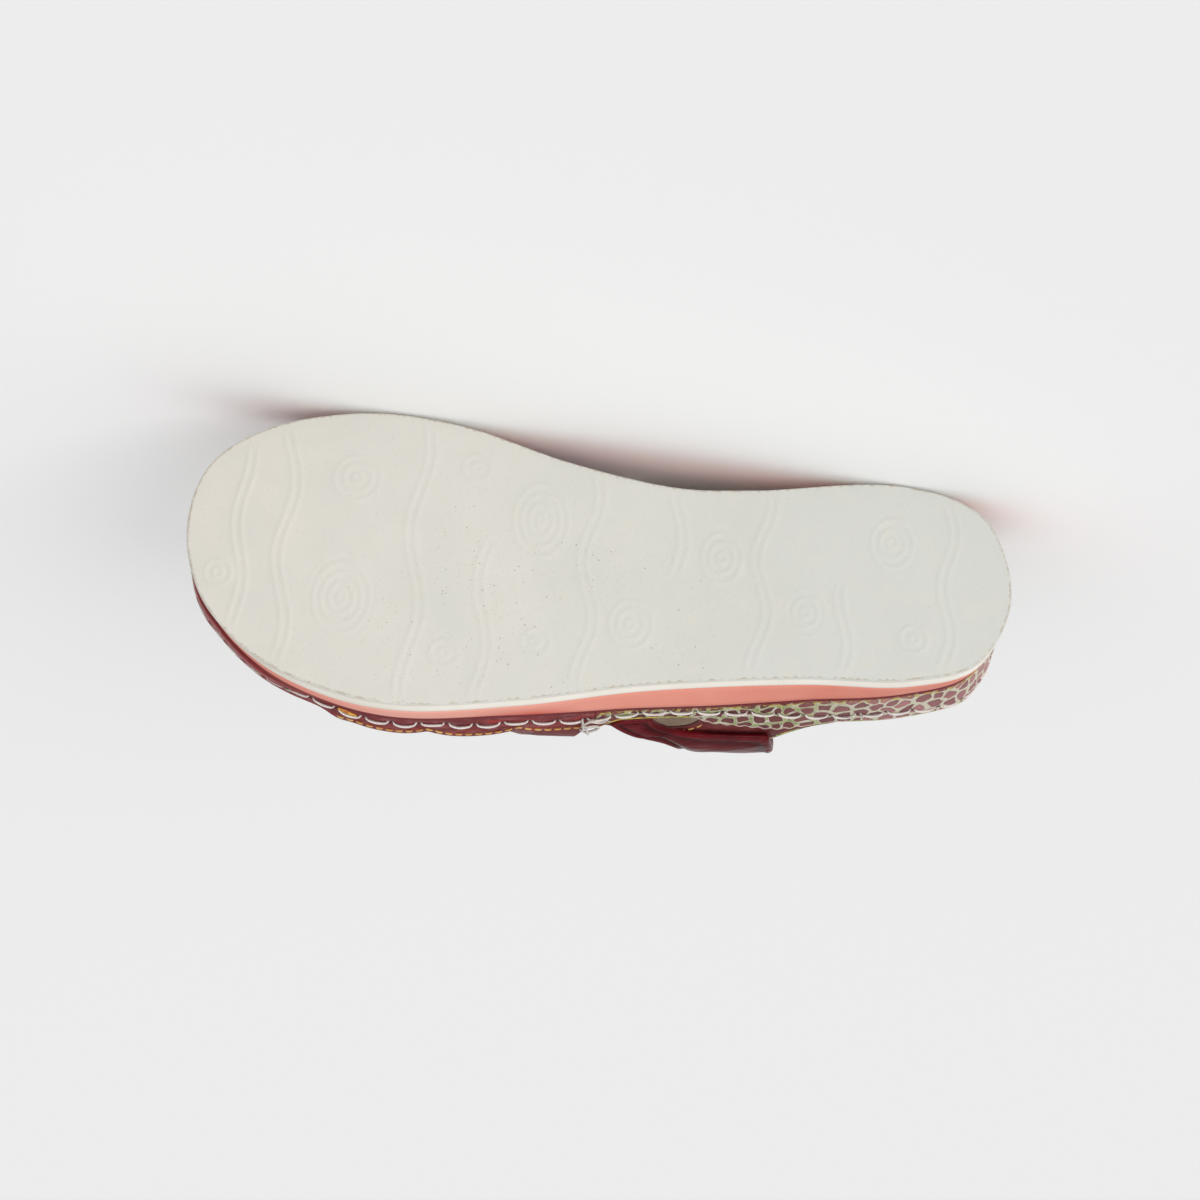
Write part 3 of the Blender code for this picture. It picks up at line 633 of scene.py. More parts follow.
def foot_stain_and_shade(shader, colour):
    """The band's foot is folded under and painted dark, partly its own stain and partly painted
    shade in the gap over the wedge, and the lacing holes are painted dark as shade. Round the
    toes the foot is painted lighter, as painted light on a band that faces away from the lamps.
    Its inner face is pale."""
    up, toes = mark(shader, "up"), between(mark(shader, "toe_way"), 206, 232)
    return coated(
        colour,
        (between(mark(shader, "inside"), 0.9, 1.3), (186, 172, 152)),
        # Painted shade at the foot and in the holes, partly the foot's own stain; round the toes
        # the foot is painted lighter as painted light.
        (between(up, 3.4, 1.5), mixed(toes, (112, 28, 34), (166, 76, 78))),
        (between(up, 0.7, 0.3), mixed(toes, (56, 12, 16), (140, 58, 56))),
        (between(mark(shader, "hole"), 0.2, 0.6), (52, 22, 22)),
    )


def stretched(where, scale):
    """The same place on a map that is drawn smaller or larger along each axis."""
    return add(where, "Mapping", {"Vector": where, "Scale": scale}).outputs[0]


# Front band: soft maroon leather, rubbed and mottled, with a scalloped top edge. Printed
# leather shows along its top beside the toes.
maroon, shader, where = finish_named("maroon_leather", (122, 50, 50), 0.45, 0.18)
streak = stretched(where, (0.45, 1.0, 1.0))
toe_way = mark(shader, "toe_way")
beside_toes = times(between(toe_way, 216, 226), between(mark(shader, "under_top"), 6.0, 4.6),
                    cloud(where, 300, 0.54, 0.6))
grey_green = mixed(cloud(where, 330, 0.42, 0.55), (112, 104, 84), (196, 204, 178))
colour = coated(
    mixed(cloud(streak, 190, 0.35, 0.65, 5.0, 0.65), (98, 30, 34), (140, 50, 50)),
    (cloud(streak, 420, 0.5, 0.72, 4.0, 0.6), (146, 92, 92)),
    (cloud(streak, 260, 0.58, 0.74, 3.0), (172, 40, 36)),
    # Lighter towards the toes: painted light on the toe band, which faces away from the lamps.
    (times(between(toe_way, 208, 230), 0.6), (168, 84, 84)),
    (beside_toes, mixed(cloud(where, 520, 0.6, 0.68), grey_green, (206, 190, 120))),
)
dye(shader, foot_stain_and_shade(shader, colour))
crease = bumped(shader, cloud(streak, 240, 0.3, 0.7), 0.0003)
bumped(shader, cells(where, 900.0)["Distance"], 0.0001, crease)

SPLIT_OUT, SPLIT_IN = walk_to(BAND_SPLIT, -1), walk_to(BAND_SPLIT, 1)
front_band = band("front_band", SPLIT_OUT + BUTT, SPLIT_IN - BUTT, 0.75, maroon)
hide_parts("rim_front")
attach(front_band, "root")

# Rear band: leather printed with reptile scales, maroon scales in a net of pale green and
# off-white, yellow along its foot. Its top edge is pinked beside the instep, and the print
# has faded to pink behind the heel.
PINKED, TOOTH_PITCH, TOOTH = (58.0, 62.0, 92.0, 95.0), 4.1, 1.5
SCALE_LONG, SCALE_TALL = 5.0, 6.1


def pinked(s):
    tooth = 2 * np.abs((s / TOOTH_PITCH) % 1 - 0.5) - 0.5
    return stretch(place_on_walk(s)[0], *PINKED) * TOOTH * tooth


def map_of(shader, name):
    return add(shader, "UVMap", uv_map=name).outputs[0]


scales, shader, where = finish_named("scale_print_leather", (150, 120, 100), 0.42, 0.16)
walk_map = map_of(shader, "walked")
warp = add(where, "TexNoise", {"Vector": walk_map, "Scale": 0.22, "Detail": 1.0}).outputs["Color"]
warp = add(where, "VectorMath", {0: warp, 1: (0.5, 0.5, 0.5)}, operation="SUBTRACT").outputs[0]
warp = add(where, "VectorMath", {0: warp, "Scale": 2.6}, operation="SCALE").outputs[0]
bent = stretched(add(where, "VectorMath", {0: walk_map, 1: warp}).outputs[0],
                 (1 / SCALE_LONG, 1 / SCALE_TALL, 1.0))
cell = cells(bent, 1.0, 0.8, voronoi_dimensions="2D")
net = cells(bent, 1.0, 0.8, feature="DISTANCE_TO_EDGE", voronoi_dimensions="2D")["Distance"]
corner = worked("MAXIMUM", worked("SUBTRACT", cell["Distance"], 0.3), 0.0)
net = worked("SUBTRACT", net, times(corner, 0.28))
tone = add(where, "SeparateColor", {0: cell["Color"]}).outputs[0]
toe_way, under_top, up = (mark(shader, name) for name in ("toe_way", "under_top", "up"))
faded = between(toe_way, 66, 38)
scale_colour = coated(
    mixed(tone, (78, 30, 34), (112, 54, 52)),
    (times(cloud(where, 700, 0.35, 0.7), 0.3), (140, 84, 80)),
    (faded, mixed(tone, (130, 84, 88), (176, 124, 124))),
)
yellow_zone = times(between(up, 5.4, 3.8), cloud(walk_map, 0.45, 0.5, 0.56))
net_colour = coated(
    mixed(cloud(walk_map, 0.3, 0.42, 0.58), (126, 140, 86), (166, 170, 118)),
    (between(net, 0.02, 0.075), (200, 192, 174)),
    (cloud(walk_map, 0.2, 0.52, 0.6), (206, 196, 184)),
    (faded, (202, 196, 176)),
    (yellow_zone, (188, 170, 78)),
)
drawn = worked("ADD", net, times(faded, 0.036))
foot_line = times(within(up, (2.2, 2.6), (3.9, 3.3)), cloud(walk_map, 0.6, 0.5, 0.54))
crest = times(between(under_top, 1.9, 1.3), cloud(walk_map, 0.8, 0.36, 0.44))
front_crest = mixed(cloud(walk_map, 0.6, 0.46, 0.54), (206, 178, 66), (150, 160, 84))
crest_colour = coated(
    mixed(cloud(walk_map, 0.35, 0.46, 0.54), (214, 184, 180), (164, 178, 104)),
    (between(toe_way, 95, 98), front_crest),
)
teeth = times(within(toe_way, (56, 60), (97, 92)), between(under_top, 1.3, 0.9))
ragged = worked("ADD", toe_way, times(cloud(walk_map, 0.42, 0.35, 0.65), 9.0))
colour = coated(
    scale_colour,
    (between(drawn, 0.118, 0.088), net_colour),
    (foot_line, (186, 162, 72)),
    (crest, crest_colour),
    (teeth, (216, 190, 184)),
    (between(ragged, 127.0, 130.0), (122, 46, 46)),
)
dye(shader, foot_stain_and_shade(shader, colour))
raised = bumped(shader, between(net, 0.05, 0.22), 0.0003)
bumped(shader, cells(where, 1100.0)["Distance"], 0.00008, raised)

rear_band = band("rear_band", SPLIT_IN + BUTT - ROUND, SPLIT_OUT - BUTT, 0.6, scales, pinked)
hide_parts("rim_rear")
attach(rear_band, "root")

# ------------------------------------------------------------------ lacing cord
# Waxed off-white cotton, sewn by hand through the bands: one long stitch beside the next all
# round the shoe.
CORD_RADIUS = 0.44
CORD_BOW, CORD_SUNK = 0.36, 0.8  # how far a stitch stands off, and how deep its ends go in
CORD_TAUT, CORD_PULLED_IN = 0.9, 0.35  # it lies flatter round the toes and the heel
SHOE_MIDDLE = np.array([128.0, 0.0, 30.0])  # a thread's outer side faces away from here


def rope(paths, radius, sides=8):
    """Round threads along paths, each a list of points, drawn in at both ends. Returns points,
    faces and the way along each and round it."""
    points, faces, ways = [], [], []
    for path in paths:
        ahead = np.gradient(path, axis=0)
        ahead /= np.linalg.norm(ahead, axis=1)[:, None]
        off = path - SHOE_MIDDLE
        off = off - ahead * np.sum(off * ahead, axis=1)[:, None]
        off /= np.linalg.norm(off, axis=1)[:, None]
        beside = np.cross(ahead, off)
        swell = np.sin(np.linspace(0.12, math.pi - 0.12, len(path))) ** 0.25
        faces += strip_faces(len(path), sides, len(points))
        for k, centre in enumerate(path):
            for j in range(sides):
                turn = 2 * math.pi * j / sides
                points.append(centre + radius * swell[k] * (
                    math.sin(turn) * off[k] + math.cos(turn) * beside[k]))
                ways.append((k, 4 * j / sides))
    return np.array(points), faces, np.array(ways)


paths = []
for stop in lace_stops:
    t = np.linspace(0, 1, 15)
    s = stop + LACE_GAP / 2 + (lace_step - LACE_GAP) * t
    x = place_on_walk(s)[0]
    bow = np.sin(math.pi * t)
    slack = 1 - CORD_TAUT * np.maximum(smooth_step(208, 224, x), 1 - smooth_step(10, 34, x))
    rise = CORD_RADIUS * 0.7 * slack + CORD_BOW * bow**0.7 * slack - CORD_SUNK * (1 - bow) ** 7
    rise = rise - CORD_PULLED_IN * smooth_step(212, 226, x)
    paths.append(on_band(s, lace_height(x) + LACE_SAG * (bow - LACE_HANG), rise))
points, faces, ways = rope(paths, CORD_RADIUS, 10)
cotton, shader, where = finish_named("waxed_cotton_cord", (232, 222, 210), 0.6)
lay = add(where, "TexWave", {"Vector": map_of(shader, "twist"), "Scale": 0.5, "Distortion": 0.6},
          bands_direction="DIAGONAL").outputs["Fac"]
dye(shader, coated(
    mixed(lay, (222, 211, 204), (246, 240, 235)),
    (cloud(where, 150, 0.55, 0.72), (216, 198, 192)),
))
bumped(shader, lay, 0.00015)
lacing = made("lacing_cord", points, faces, [cotton], {"twist": ways})
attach(lacing, "root")

# ------------------------------------------------------------------ edge stitching
# Ochre thread, short stitches in a row just inside the front band's top edge, on both sides of
# the foot but not round the toes.
STITCH_LONG, STITCH_GAP, STITCH_RADIUS = 2.2, 0.9, 0.37
STITCH_IN, STITCH_END = 2.9, 209.0  # under the edge, and where the row ends towards the toe
STITCH_PROUD, STITCH_SUNK = 0.24, 0.3


def stitched(line, start, end, long, gap):
    """Paths of short stitches one after another. Line gives the points at a way along and a
    dip, and each stitch dips at its ends."""
    t = np.linspace(0, 1, 9)
    dip = STITCH_SUNK * (2 * t - 1) ** 6
    return [line(at + long * t, dip) for at in np.arange(start, end - long, long + gap)]


def below_edge(s, dip):
    return on_band(s, rim_height(place_on_walk(s)[0]) - STITCH_IN, STITCH_PROUD - dip)


rows = stitched(below_edge, SPLIT_OUT + 1.0, walk_to(STITCH_END, -1), STITCH_LONG, STITCH_GAP)
rows += stitched(below_edge, walk_to(STITCH_END, 1), SPLIT_IN - 1.0, STITCH_LONG, STITCH_GAP)
points, faces, _ = rope(rows, STITCH_RADIUS, 6)
ochre, shader, where = finish_named("ochre_thread", (214, 156, 62), 0.55)
dye(shader, mixed(cloud(where, 160, 0.4, 0.6), (226, 186, 116), (204, 152, 84)))
bumped(shader, add(where, "TexWave", {"Vector": where, "Scale": 900.0}).outputs["Fac"], 0.00008)
edge_stitches = made("edge_stitches", points, faces, [ochre])
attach(edge_stitches, "root")

# ------------------------------------------------------------------ knot
# The two ends of the same waxed cord, tied by hand in a loop over the outer join of the bands.
KNOT_RADIUS = 0.45
# Each strand's places: x, v, and how far its middle lies off the bands.
KNOT = (
    ((130.9, 6.6, 0.3), (130.7, 8.6, 1.1), (130.5, 11.4, 1.3), (130.3, 14.6, 1.2),
     (130.1, 17.6, 0.5)),
    ((131.0, 9.4, 1.5), (129.8, 7.8, 1.5), (128.3, 6.9, 1.3), (125.8, 8.9, 1.1),
     (123.8, 8.6, 0.9), (122.6, 7.0, 0.3)),
    ((131.2, 11.0, 1.3), (129.6, 10.5, 1.7), (127.2, 11.0, 1.5), (125.6, 13.0, 1.2),
     (126.4, 15.2, 1.2), (128.2, 16.0, 1.4), (130.0, 15.6, 1.6), (131.4, 14.4, 1.0)),
    ((129.6, 12.6, 1.4), (129.2, 15.2, 1.9), (128.8, 17.4, 1.6), (128.6, 19.2, 1.2)),
)


def smoothed(places, count):
    """So many steps of a smooth line through the places, as a column for each of their values."""
    rows = np.array(places, float)
    rows = np.vstack([2 * rows[0] - rows[1], rows, 2 * rows[-1] - rows[-2]])
    t = np.linspace(0, len(places) - 1, count)
    k = np.clip(t.astype(int), 0, len(rows) - 4)
    u = (t - k)[:, None]
    a, b, c, d = (rows[k + j] for j in range(4))
    line = b + 0.5 * u * (c - a + u * (2 * a - 5 * b + 4 * c - d + u * (3 * (b - c) + d - a)))
    return line.T


strands = []
for strand in KNOT:
    x, v, lift = smoothed(strand, 10 * len(strand))
    strands.append(on_band(walk_to(x, -1), v, lift))
points, faces, ways = rope(strands, KNOT_RADIUS)
knot = made("cord_knot", points, faces, [cotton], {"twist": ways})
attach(knot, "root")

# ------------------------------------------------------------------ gilt leaf
# A small curved leaf of thin gilded leather, domed along its middle and glued to the front band
# beside the toes.
LEAF_SPINE = ((206.6, 2.4), (204.4, 3.8), (202.2, 5.0), (199.6, 5.6))  # x and v
LEAF_HALF, LEAF_STEPS = 1.55, 25
x, v = smoothed(LEAF_SPINE, LEAF_STEPS)
width = LEAF_HALF * np.sin(np.linspace(0, math.pi, LEAF_STEPS)) ** 0.8 + 0.02
across = np.linspace(-1, 1, 9)
s = walk_to(x, -1)[:, None] + 0 * across
v = v[:, None] + width[:, None] * across
proud = 0.2 + 0.3 * (1 - np.abs(across)) ** 0.6
loop = np.concatenate([on_band(s, v, proud + 0 * s), on_band(s, v, -0.2)[:, ::-1]], axis=1)
faces = [face[::-1] for face in strip_faces(*loop.shape[:2])]
gilt, shader, where = finish_named("gilded_leather", (212, 160, 60), 0.35)
shader.inputs["Metallic"].default_value = 0.35
dye(shader, mixed(cloud(where, 500, 0.4, 0.6), (226, 178, 62), (176, 92, 34)))
bumped(shader, cloud(where, 900, 0.3, 0.7), 0.0001)
gilt_leaf = made("gilt_leaf", loop.reshape(-1, 3), faces, [gilt])
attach(gilt_leaf, "root")

# ------------------------------------------------------------------ upper
# One piece of maroon leather over a pale lining, bent over the instep from rim to rim. It is
# cut to an oval window and a deep notch, and its rear edge is faced with the printed leather.
UPPER_WALL = 2.0
WALL_SHARE = 0.4  # of the way from the crown to a foot, the upper's side below its widest line
SPREAD_ABOVE = 1.0
# Where the upper is widest, how far it stands out there, its crown, and how square its arch is.
UPPER = table(
    "x wide_z lateral_out medial_out crown_z crown_y square",
    (44, 44.0, 0.9, 1.0, 104.0, 2.0, 2.4), (70, 48.0, 1.0, 1.6, 99.0, 2.0, 2.4),
    (92, 47.0, 0.65, 3.5, 90.0, 2.5, 2.4), (102, 44.7, 0.65, 3.3, 86.0, 2.8, 2.38),
    (112, 42.0, 1.4, 3.0, 82.0, 3.0, 2.35), (131, 37.5, 1.3, 1.5, 73.5, 3.0, 2.2),
    (148, 35.5, 0.5, 0.0, 67.0, 3.0, 2.1), (157, 31.0, -0.7, 0.0, 64.5, 3.0, 2.1),
    (178, 26.0, 0.0, 0.0, 59.0, 3.0, 2.0), (206, 23.0, 0.0, 0.0, 51.0, 2.0, 2.0),
)
UPPER_REAR = table(
    "z x",
    (20, 44), (39, 44), (43.5, 45.8), (46.8, 50.0), (49.6, 56.0), (54, 61.2), (61, 67.0),
    (70, 71.5), (100, 72.5),
)
UPPER_FRONT = table("z x", (18, 203), (30, 201), (42, 194), (52, 184), (60, 174))
WINDOW = {"x": 101.0, "z": 36.8, "long": 8.0, "short": 7.0, "tilt": 20.0}
NOTCH = (
    (118.5, 26.0), (117.5, 31.5), (113.0, 37.5), (107.5, 44.2), (103.5, 50.0), (101.0, 56.0),
    (101.5, 63.0), (106.5, 67.5), (114.5, 68.5), (122.5, 66.5), (128.5, 61.5), (131.5, 54.0),
    (131.5, 45.0), (129.0, 37.0), (126.0, 31.5), (125.5, 26.0),
)
upper = {name: fair(UPPER, name) for name in UPPER[0]._fields[1:]}


def foot_out(x):
    """How far out the upper's foot stands, just inside the bands."""
    return np.minimum(rim_face(x, 0.0), rim_face(x, 1.0)) - RIM_WALL - GAP


def on_upper(x, s, lift=0.0):
    """Points of the upper's outer face: s is -1 at the lateral foot, 0 at the crown and 1 at
    the medial foot."""
    x, s = np.broadcast_arrays(np.asarray(x, float), np.asarray(s, float))
    side = np.where(s > 0, 1, -1)
    share = np.abs(s)
    foot_z = wedge_top(x) + 2 * GAP
    foot_y = np.where(side > 0, outline(x, 1, foot_out(x))[1], outline(x, -1, foot_out(x))[1])
    wide_z = upper["wide_z"](x)
    spread = np.where(side > 0, upper["medial_out"](x), upper["lateral_out"](x))
    wide_y = foot_y + side * spread
    crown_y, crown_z = upper["crown_y"](x), upper["crown_z"](x)
    low = np.minimum(rim_top(x) + SPREAD_ABOVE, wide_z - 4)
    wall_z = wide_z + (foot_z - wide_z) * (share - 1 + WALL_SHARE) / WALL_SHARE
    wall_y = foot_y + (wide_y - foot_y) * smooth_step(low, wide_z, wall_z)
    turn = np.clip(1 - share / (1 - WALL_SHARE), 0, 1) * math.pi / 2
    power = 2 / upper["square"](x)
    across, up = wide_y - crown_y, crown_z - wide_z
    cos, sin = np.cos(turn), np.sin(turn)
    arch_y, arch_z = crown_y + across * cos**power, wide_z + up * sin**power
    ny = cos ** (2 - power) / np.abs(across) * side
    nz = sin ** (2 - power) / up
    size = np.hypot(ny, nz)
    in_wall = share >= 1 - WALL_SHARE
    y = np.where(in_wall, wall_y + side * lift, arch_y + ny / size * lift)
    z = np.where(in_wall, wall_z, arch_z + nz / size * lift)
    return np.stack([x, y, z], axis=-1)


def share_at(x, z):
    """How far round the upper, from 0 at the crown to 1 at the foot, height z is."""
    foot_z, wide_z = wedge_top(x) + 2 * GAP, upper["wide_z"](x)
    power = 2 / upper["square"](x)
    rise = np.clip((z - wide_z) / (upper["crown_z"](x) - wide_z), 0, 1)
    arch = (1 - WALL_SHARE) * (1 - np.arcsin(rise ** (1 / power)) * 2 / math.pi)
    wall = 1 - WALL_SHARE + WALL_SHARE * (wide_z - z) / (wide_z - foot_z)
    return np.where(z <= wide_z, wall, arch)


def edge_x(rows, s):
    """Where a side-view edge crosses the upper at s."""
    line = fair(rows, "x", key="z")
    x = np.full(np.shape(s), float(rows[-1].x))
    for _ in range(40):
        x = (x + line(on_upper(x, s)[..., 2])) / 2
    return x


# Leather is marked out flat, in millimetres: x along the shoe, and w round it from the crown.
HALF_ROUND = 88.0


def marked_out(x, z, side):
    """A side-view line as it is marked on the flat leather."""
    return np.stack([x, side * share_at(x, z) * HALF_ROUND], axis=-1)


def way_inside(spots, lines):
    """How far spots lie inside all the lines, less than 0 outside, and which way is in. A line
    is a closed ring and 1, or -1 for a hole."""
    way = np.full(len(spots), np.inf)
    inward = np.zeros_like(spots)
    for ring, kind in lines:
        following = np.roll(ring, -1, axis=0)
        step = following - ring
        area = np.sum(ring[:, 0] * following[:, 1] - ring[:, 1] * following[:, 0])
        square = np.stack([-step[:, 1], step[:, 0]], axis=1) * np.sign(area)
        square /= np.linalg.norm(square, axis=1)[:, None]
        for begin in range(0, len(spots), BATCH):
            at = spots[begin:begin + BATCH, None]
            t = np.clip(np.sum((at - ring) * step, axis=2) / np.sum(step**2, axis=1), 0, 1)
            foot = ring + step * t[..., None]
            far = np.linalg.norm(at - foot, axis=2)
            near = np.argmin(far, axis=1)
            rows = np.arange(len(at))
            over = (ring[:, 1] > at[..., 1]) != (following[:, 1] > at[..., 1])
            with np.errstate(divide="ignore", invalid="ignore"):
                cross = ring[:, 0] + (at[..., 1] - ring[:, 1]) / step[:, 1] * step[:, 0]
            side = np.where(np.sum(over & (at[..., 0] < cross), axis=1) % 2, 1.0, -1.0)
            reach = far[rows, near]
            towards = (at[:, 0] - foot[rows, near]) * (side / np.maximum(reach, 1e-9))[:, None]
            towards = np.where((reach < 1e-3)[:, None], square[near], towards)
            signed = reach * side * kind
            part = slice(begin, begin + len(at))
            nearer = signed < way[part]
            way[part] = np.where(nearer, signed, way[part])
            inward[part] = np.where(nearer[:, None], towards * kind, inward[part])
    return way, inward


def cut_sheet(xs, ws, lines, keep):
    """A net of spots on the flat leather, trimmed cleanly to `keep` inside the lines. Returns
    the spots, how far in each lies, which way is in, and the faces."""
    spots = np.stack(np.meshgrid(xs, ws), axis=-1).reshape(-1, 2)
    way, inward = way_inside(spots, lines)
    near = np.abs(way - keep) < 0.3 * min(xs[1] - xs[0], ws[1] - ws[0])
    spots[near] -= ((way - keep)[:, None] * inward)[near]
    way[near] = keep
    over = way - keep
    columns = len(xs)
    r, c = np.meshgrid(np.arange(len(ws) - 1), np.arange(columns - 1), indexing="ij")
    first = (r * columns + c).ravel()
    quads = np.stack([first, first + 1, first + columns + 1, first + columns], axis=1)
    low, high = over[quads].min(axis=1), over[quads].max(axis=1)
    faces = [tuple(quad) for quad in quads[low >= 0].tolist()]
    added, cuts = [], {}
    for quad in quads[(low < 0) & (high > 0)].tolist():
        face = []
        for a, b in zip(quad, quad[1:] + quad[:1]):
            if over[a] >= 0:
                face.append(a)
            if over[a] * over[b] < 0:
                key = (min(a, b), max(a, b))
                if key not in cuts:
                    cuts[key] = len(spots) + len(added)
                    share = over[a] / (over[a] - over[b])
                    added.append(spots[a] + (spots[b] - spots[a]) * share)
                face.append(cuts[key])
        if len(face) > 2:
            faces.append(tuple(face))
    if added:
        fresh_way, fresh_in = way_inside(np.array(added), lines)
        spots = np.vstack([spots, added])
        way = np.concatenate([way, fresh_way])
        inward = np.vstack([inward, fresh_in])
    used = np.unique(np.concatenate([np.array(face) for face in faces]))
    place = np.full(len(spots), -1)
    place[used] = np.arange(len(used))
    faces = [tuple(place[list(face)].tolist()) for face in faces]
    return spots[used], way[used], inward[used], faces


def leather(name, net, hem, top, under, materials, marks, bend=None):
    """A closed piece on the upper's form. Top gives the outer face's lift at spots and their
    way in, under the inner face's, and the hem rounds the edge between them. Marks and bend
    take spots on the flat leather; bend says how far each is carried, in millimetres."""
    spots, way, inward, faces = net
    count = len(spots)
    edges = {(a, b) for face in faces for a, b in zip(face, face[1:] + face[:1])}
    brink = sorted((a, b) for a, b in edges if (b, a) not in edges)
    ring = sorted({a for a, _ in brink})
    rungs = hem[1:-1]
    flat, lifts = [spots, spots], [top(spots, way), under(way)]
    for level in rungs:
        flat.append(spots[ring] + inward[ring] * (level.way - way[ring])[:, None])
        lifts.append(np.full(len(ring), level.lift))
    flat, lifts = np.vstack(flat), np.concatenate(lifts)
    points = on_upper(flat[:, 0], flat[:, 1] / HALF_ROUND, lifts)
    if bend:
        points += bend(flat)
    ladders = {
        spot: [spot, *(2 * count + level * len(ring) + k for level in range(len(rungs))),
               count + spot]
        for k, spot in enumerate(ring)
    }
    edge_faces = [
        (ladders[b][level], ladders[a][level], ladders[a][level + 1], ladders[b][level + 1])
        for a, b in brink for level in range(len(rungs) + 1)
    ]
    kinds = [0] * len(faces) + [1] * len(faces) + [min(2, len(materials) - 1)] * len(edge_faces)
    all_faces = faces + [tuple(count + k for k in face[::-1]) for face in faces] + edge_faces
    kept = {"map": flat, "way_in": np.concatenate([way, way, np.tile(way[ring], len(rungs))])}
    for mark_name, values in marks.items():
        kept[mark_name] = values(flat)
    return made(name, points, all_faces, materials, kept, kinds)


ws = np.linspace(-1, 1, 401)
rear_line, front_line = (
    np.stack([edge_x(rows, ws), ws * HALF_ROUND], axis=1) for rows in (UPPER_REAR, UPPER_FRONT)
)
turns = np.linspace(0, 2 * math.pi, 48, endpoint=False)
tilt = math.radians(WINDOW["tilt"])


def oval(grow):
    """The window's line, larger all round by `grow`."""
    long, short = (WINDOW["long"] + grow) * np.cos(turns), (WINDOW["short"] + grow) * np.sin(turns)
    x = WINDOW["x"] - long * math.cos(tilt) - short * math.sin(tilt)
    z = WINDOW["z"] + long * math.sin(tilt) - short * math.cos(tilt)
    return marked_out(x, z, -1)


notch = rounded(NOTCH, 8)
lines = [(np.vstack([rear_line, front_line[::-1]]), 1), (oval(0.0), -1)]
lines += [(marked_out(notch[:, 0], notch[:, 1], side), -1) for side in (-1, 1)]
SKIVED, SKIVE_WIDE = 0.95, 2.2  # the leather is thinned along its cut edges
UPPER_HEM = table("way lift", (0.32, 0.0), (0.1, -0.09), (0.0, -0.3), (0.0, -0.68),
                  (0.1, -0.86), (0.32, -SKIVED))
fine = 1.0
net = cut_sheet(np.arange(40, 208, fine), np.arange(-90, 90.5, fine), lines, UPPER_HEM[0].way)
CREASES = table("x slant deep", (150, 0.10, 0.35), (158, -0.06, 0.45), (167, 0.05, 0.35),
                (178, -0.08, 0.25))
CREASE_REACH = 42.0  # how far they run down each side from the crown
TROUGH_HALF, RIDGE_OFF, RIDGE_WIDE = 1.5, 3.2, 1.6


def crinkled(spots, way):
    """Soft creases across the vamp, where the foot bends."""
    x, w = spots.T
    lift = np.zeros(len(spots))
    reach = np.exp(-(w / CREASE_REACH) ** 4)
    for crease in CREASES:
        off = x - crease.x - crease.slant * w - 1.5 * np.sin(w / 9.0 + crease.x)
        lift -= crease.deep * np.exp(-(off / TROUGH_HALF) ** 2) * reach
        lift += 0.5 * crease.deep * np.exp(-((np.abs(off) - RIDGE_OFF) / RIDGE_WIDE) ** 2) * reach
    return lift * np.clip(way / 6, 0, 1)


def lining(way):
    """The inner face, which comes nearer to the outer one where the edge is thinned."""
    return -UPPER_WALL + (UPPER_WALL - SKIVED) * np.exp(-(way - UPPER_HEM[0].way) / SKIVE_WIDE)


GLITTER = {"x": 151.5, "w": -58.0, "reach": 7.5}  # a patch of it on the outer side
hide_marks = {
    "rear_way": lambda flat: flat[:, 0] - np.interp(flat[:, 1], *rear_line.T[::-1]),
    "glitter_way": lambda flat: GLITTER["reach"] - np.hypot(
        flat[:, 0] - GLITTER["x"], (flat[:, 1] - GLITTER["w"]) / 2),
}

hide, shader, where = finish_named("upper_leather", (108, 46, 46), 0.42, 0.12)
flat_map = map_of(shader, "map")
print_net = cells(flat_map, 0.34, feature="DISTANCE_TO_EDGE", voronoi_dimensions="2D")["Distance"]
print_cream = mixed(cloud(flat_map, 0.25, 0.46, 0.54), (150, 172, 104), (210, 196, 176))
facing_colour = coated(
    mixed(between(print_net, 0.1, 0.16), print_cream, (104, 48, 46)),
    (cloud(flat_map, 0.4, 0.56, 0.62), (202, 184, 76)),
)
glitter = times(between(mark(shader, "glitter_way"), 0.0, 1.0), cloud(where, 1300, 0.45, 0.55))
dye(shader, coated(
    mixed(cloud(where, 60, 0.35, 0.7), (98, 38, 40), (116, 52, 51)),
    (cloud(where, 260, 0.45, 0.9), (130, 68, 65)),
    (between(mark(shader, "rear_way"), 3.0, 2.5), facing_colour),
    (glitter, (150, 112, 108)),
))
fold = bumped(shader, cloud(where, 130, 0.3, 0.7), 0.0003)
bumped(shader, cells(where, 1300.0)["Distance"], 0.00007, fold)

pale, shader, where = finish_named("pale_lining", (226, 210, 190), 0.7)
streak = stretched(where, (1.0, 0.35, 1.0))
dye(shader, mixed(cloud(streak, 260, 0.35, 0.65), (222, 200, 184), (242, 232, 216)))
bumped(shader, cloud(where, 1500, 0.3, 0.7), 0.00008)

cut_edge, shader, where = finish_named("painted_cut_edge", (92, 34, 34), 0.5)
dye(shader, mixed(cloud(where, 300, 0.4, 0.7), (84, 30, 32), (124, 64, 58)))

body = leather("upper_leather", net, UPPER_HEM, crinkled, lining, [hide, pale, cut_edge],
               hide_marks)
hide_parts("upper")
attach(body, "root")


# ------------------------------------------------------------------ stitching on the upper
# The same ochre thread, finer: one row of stitches round the window, and one inside the front
# edge, over the toes.
SEWN_PROUD = 0.16
ROUND_WINDOW, INSIDE_FRONT, TOE_ROW = 2.3, 2.8, 0.72  # the last is a share of the way to a foot


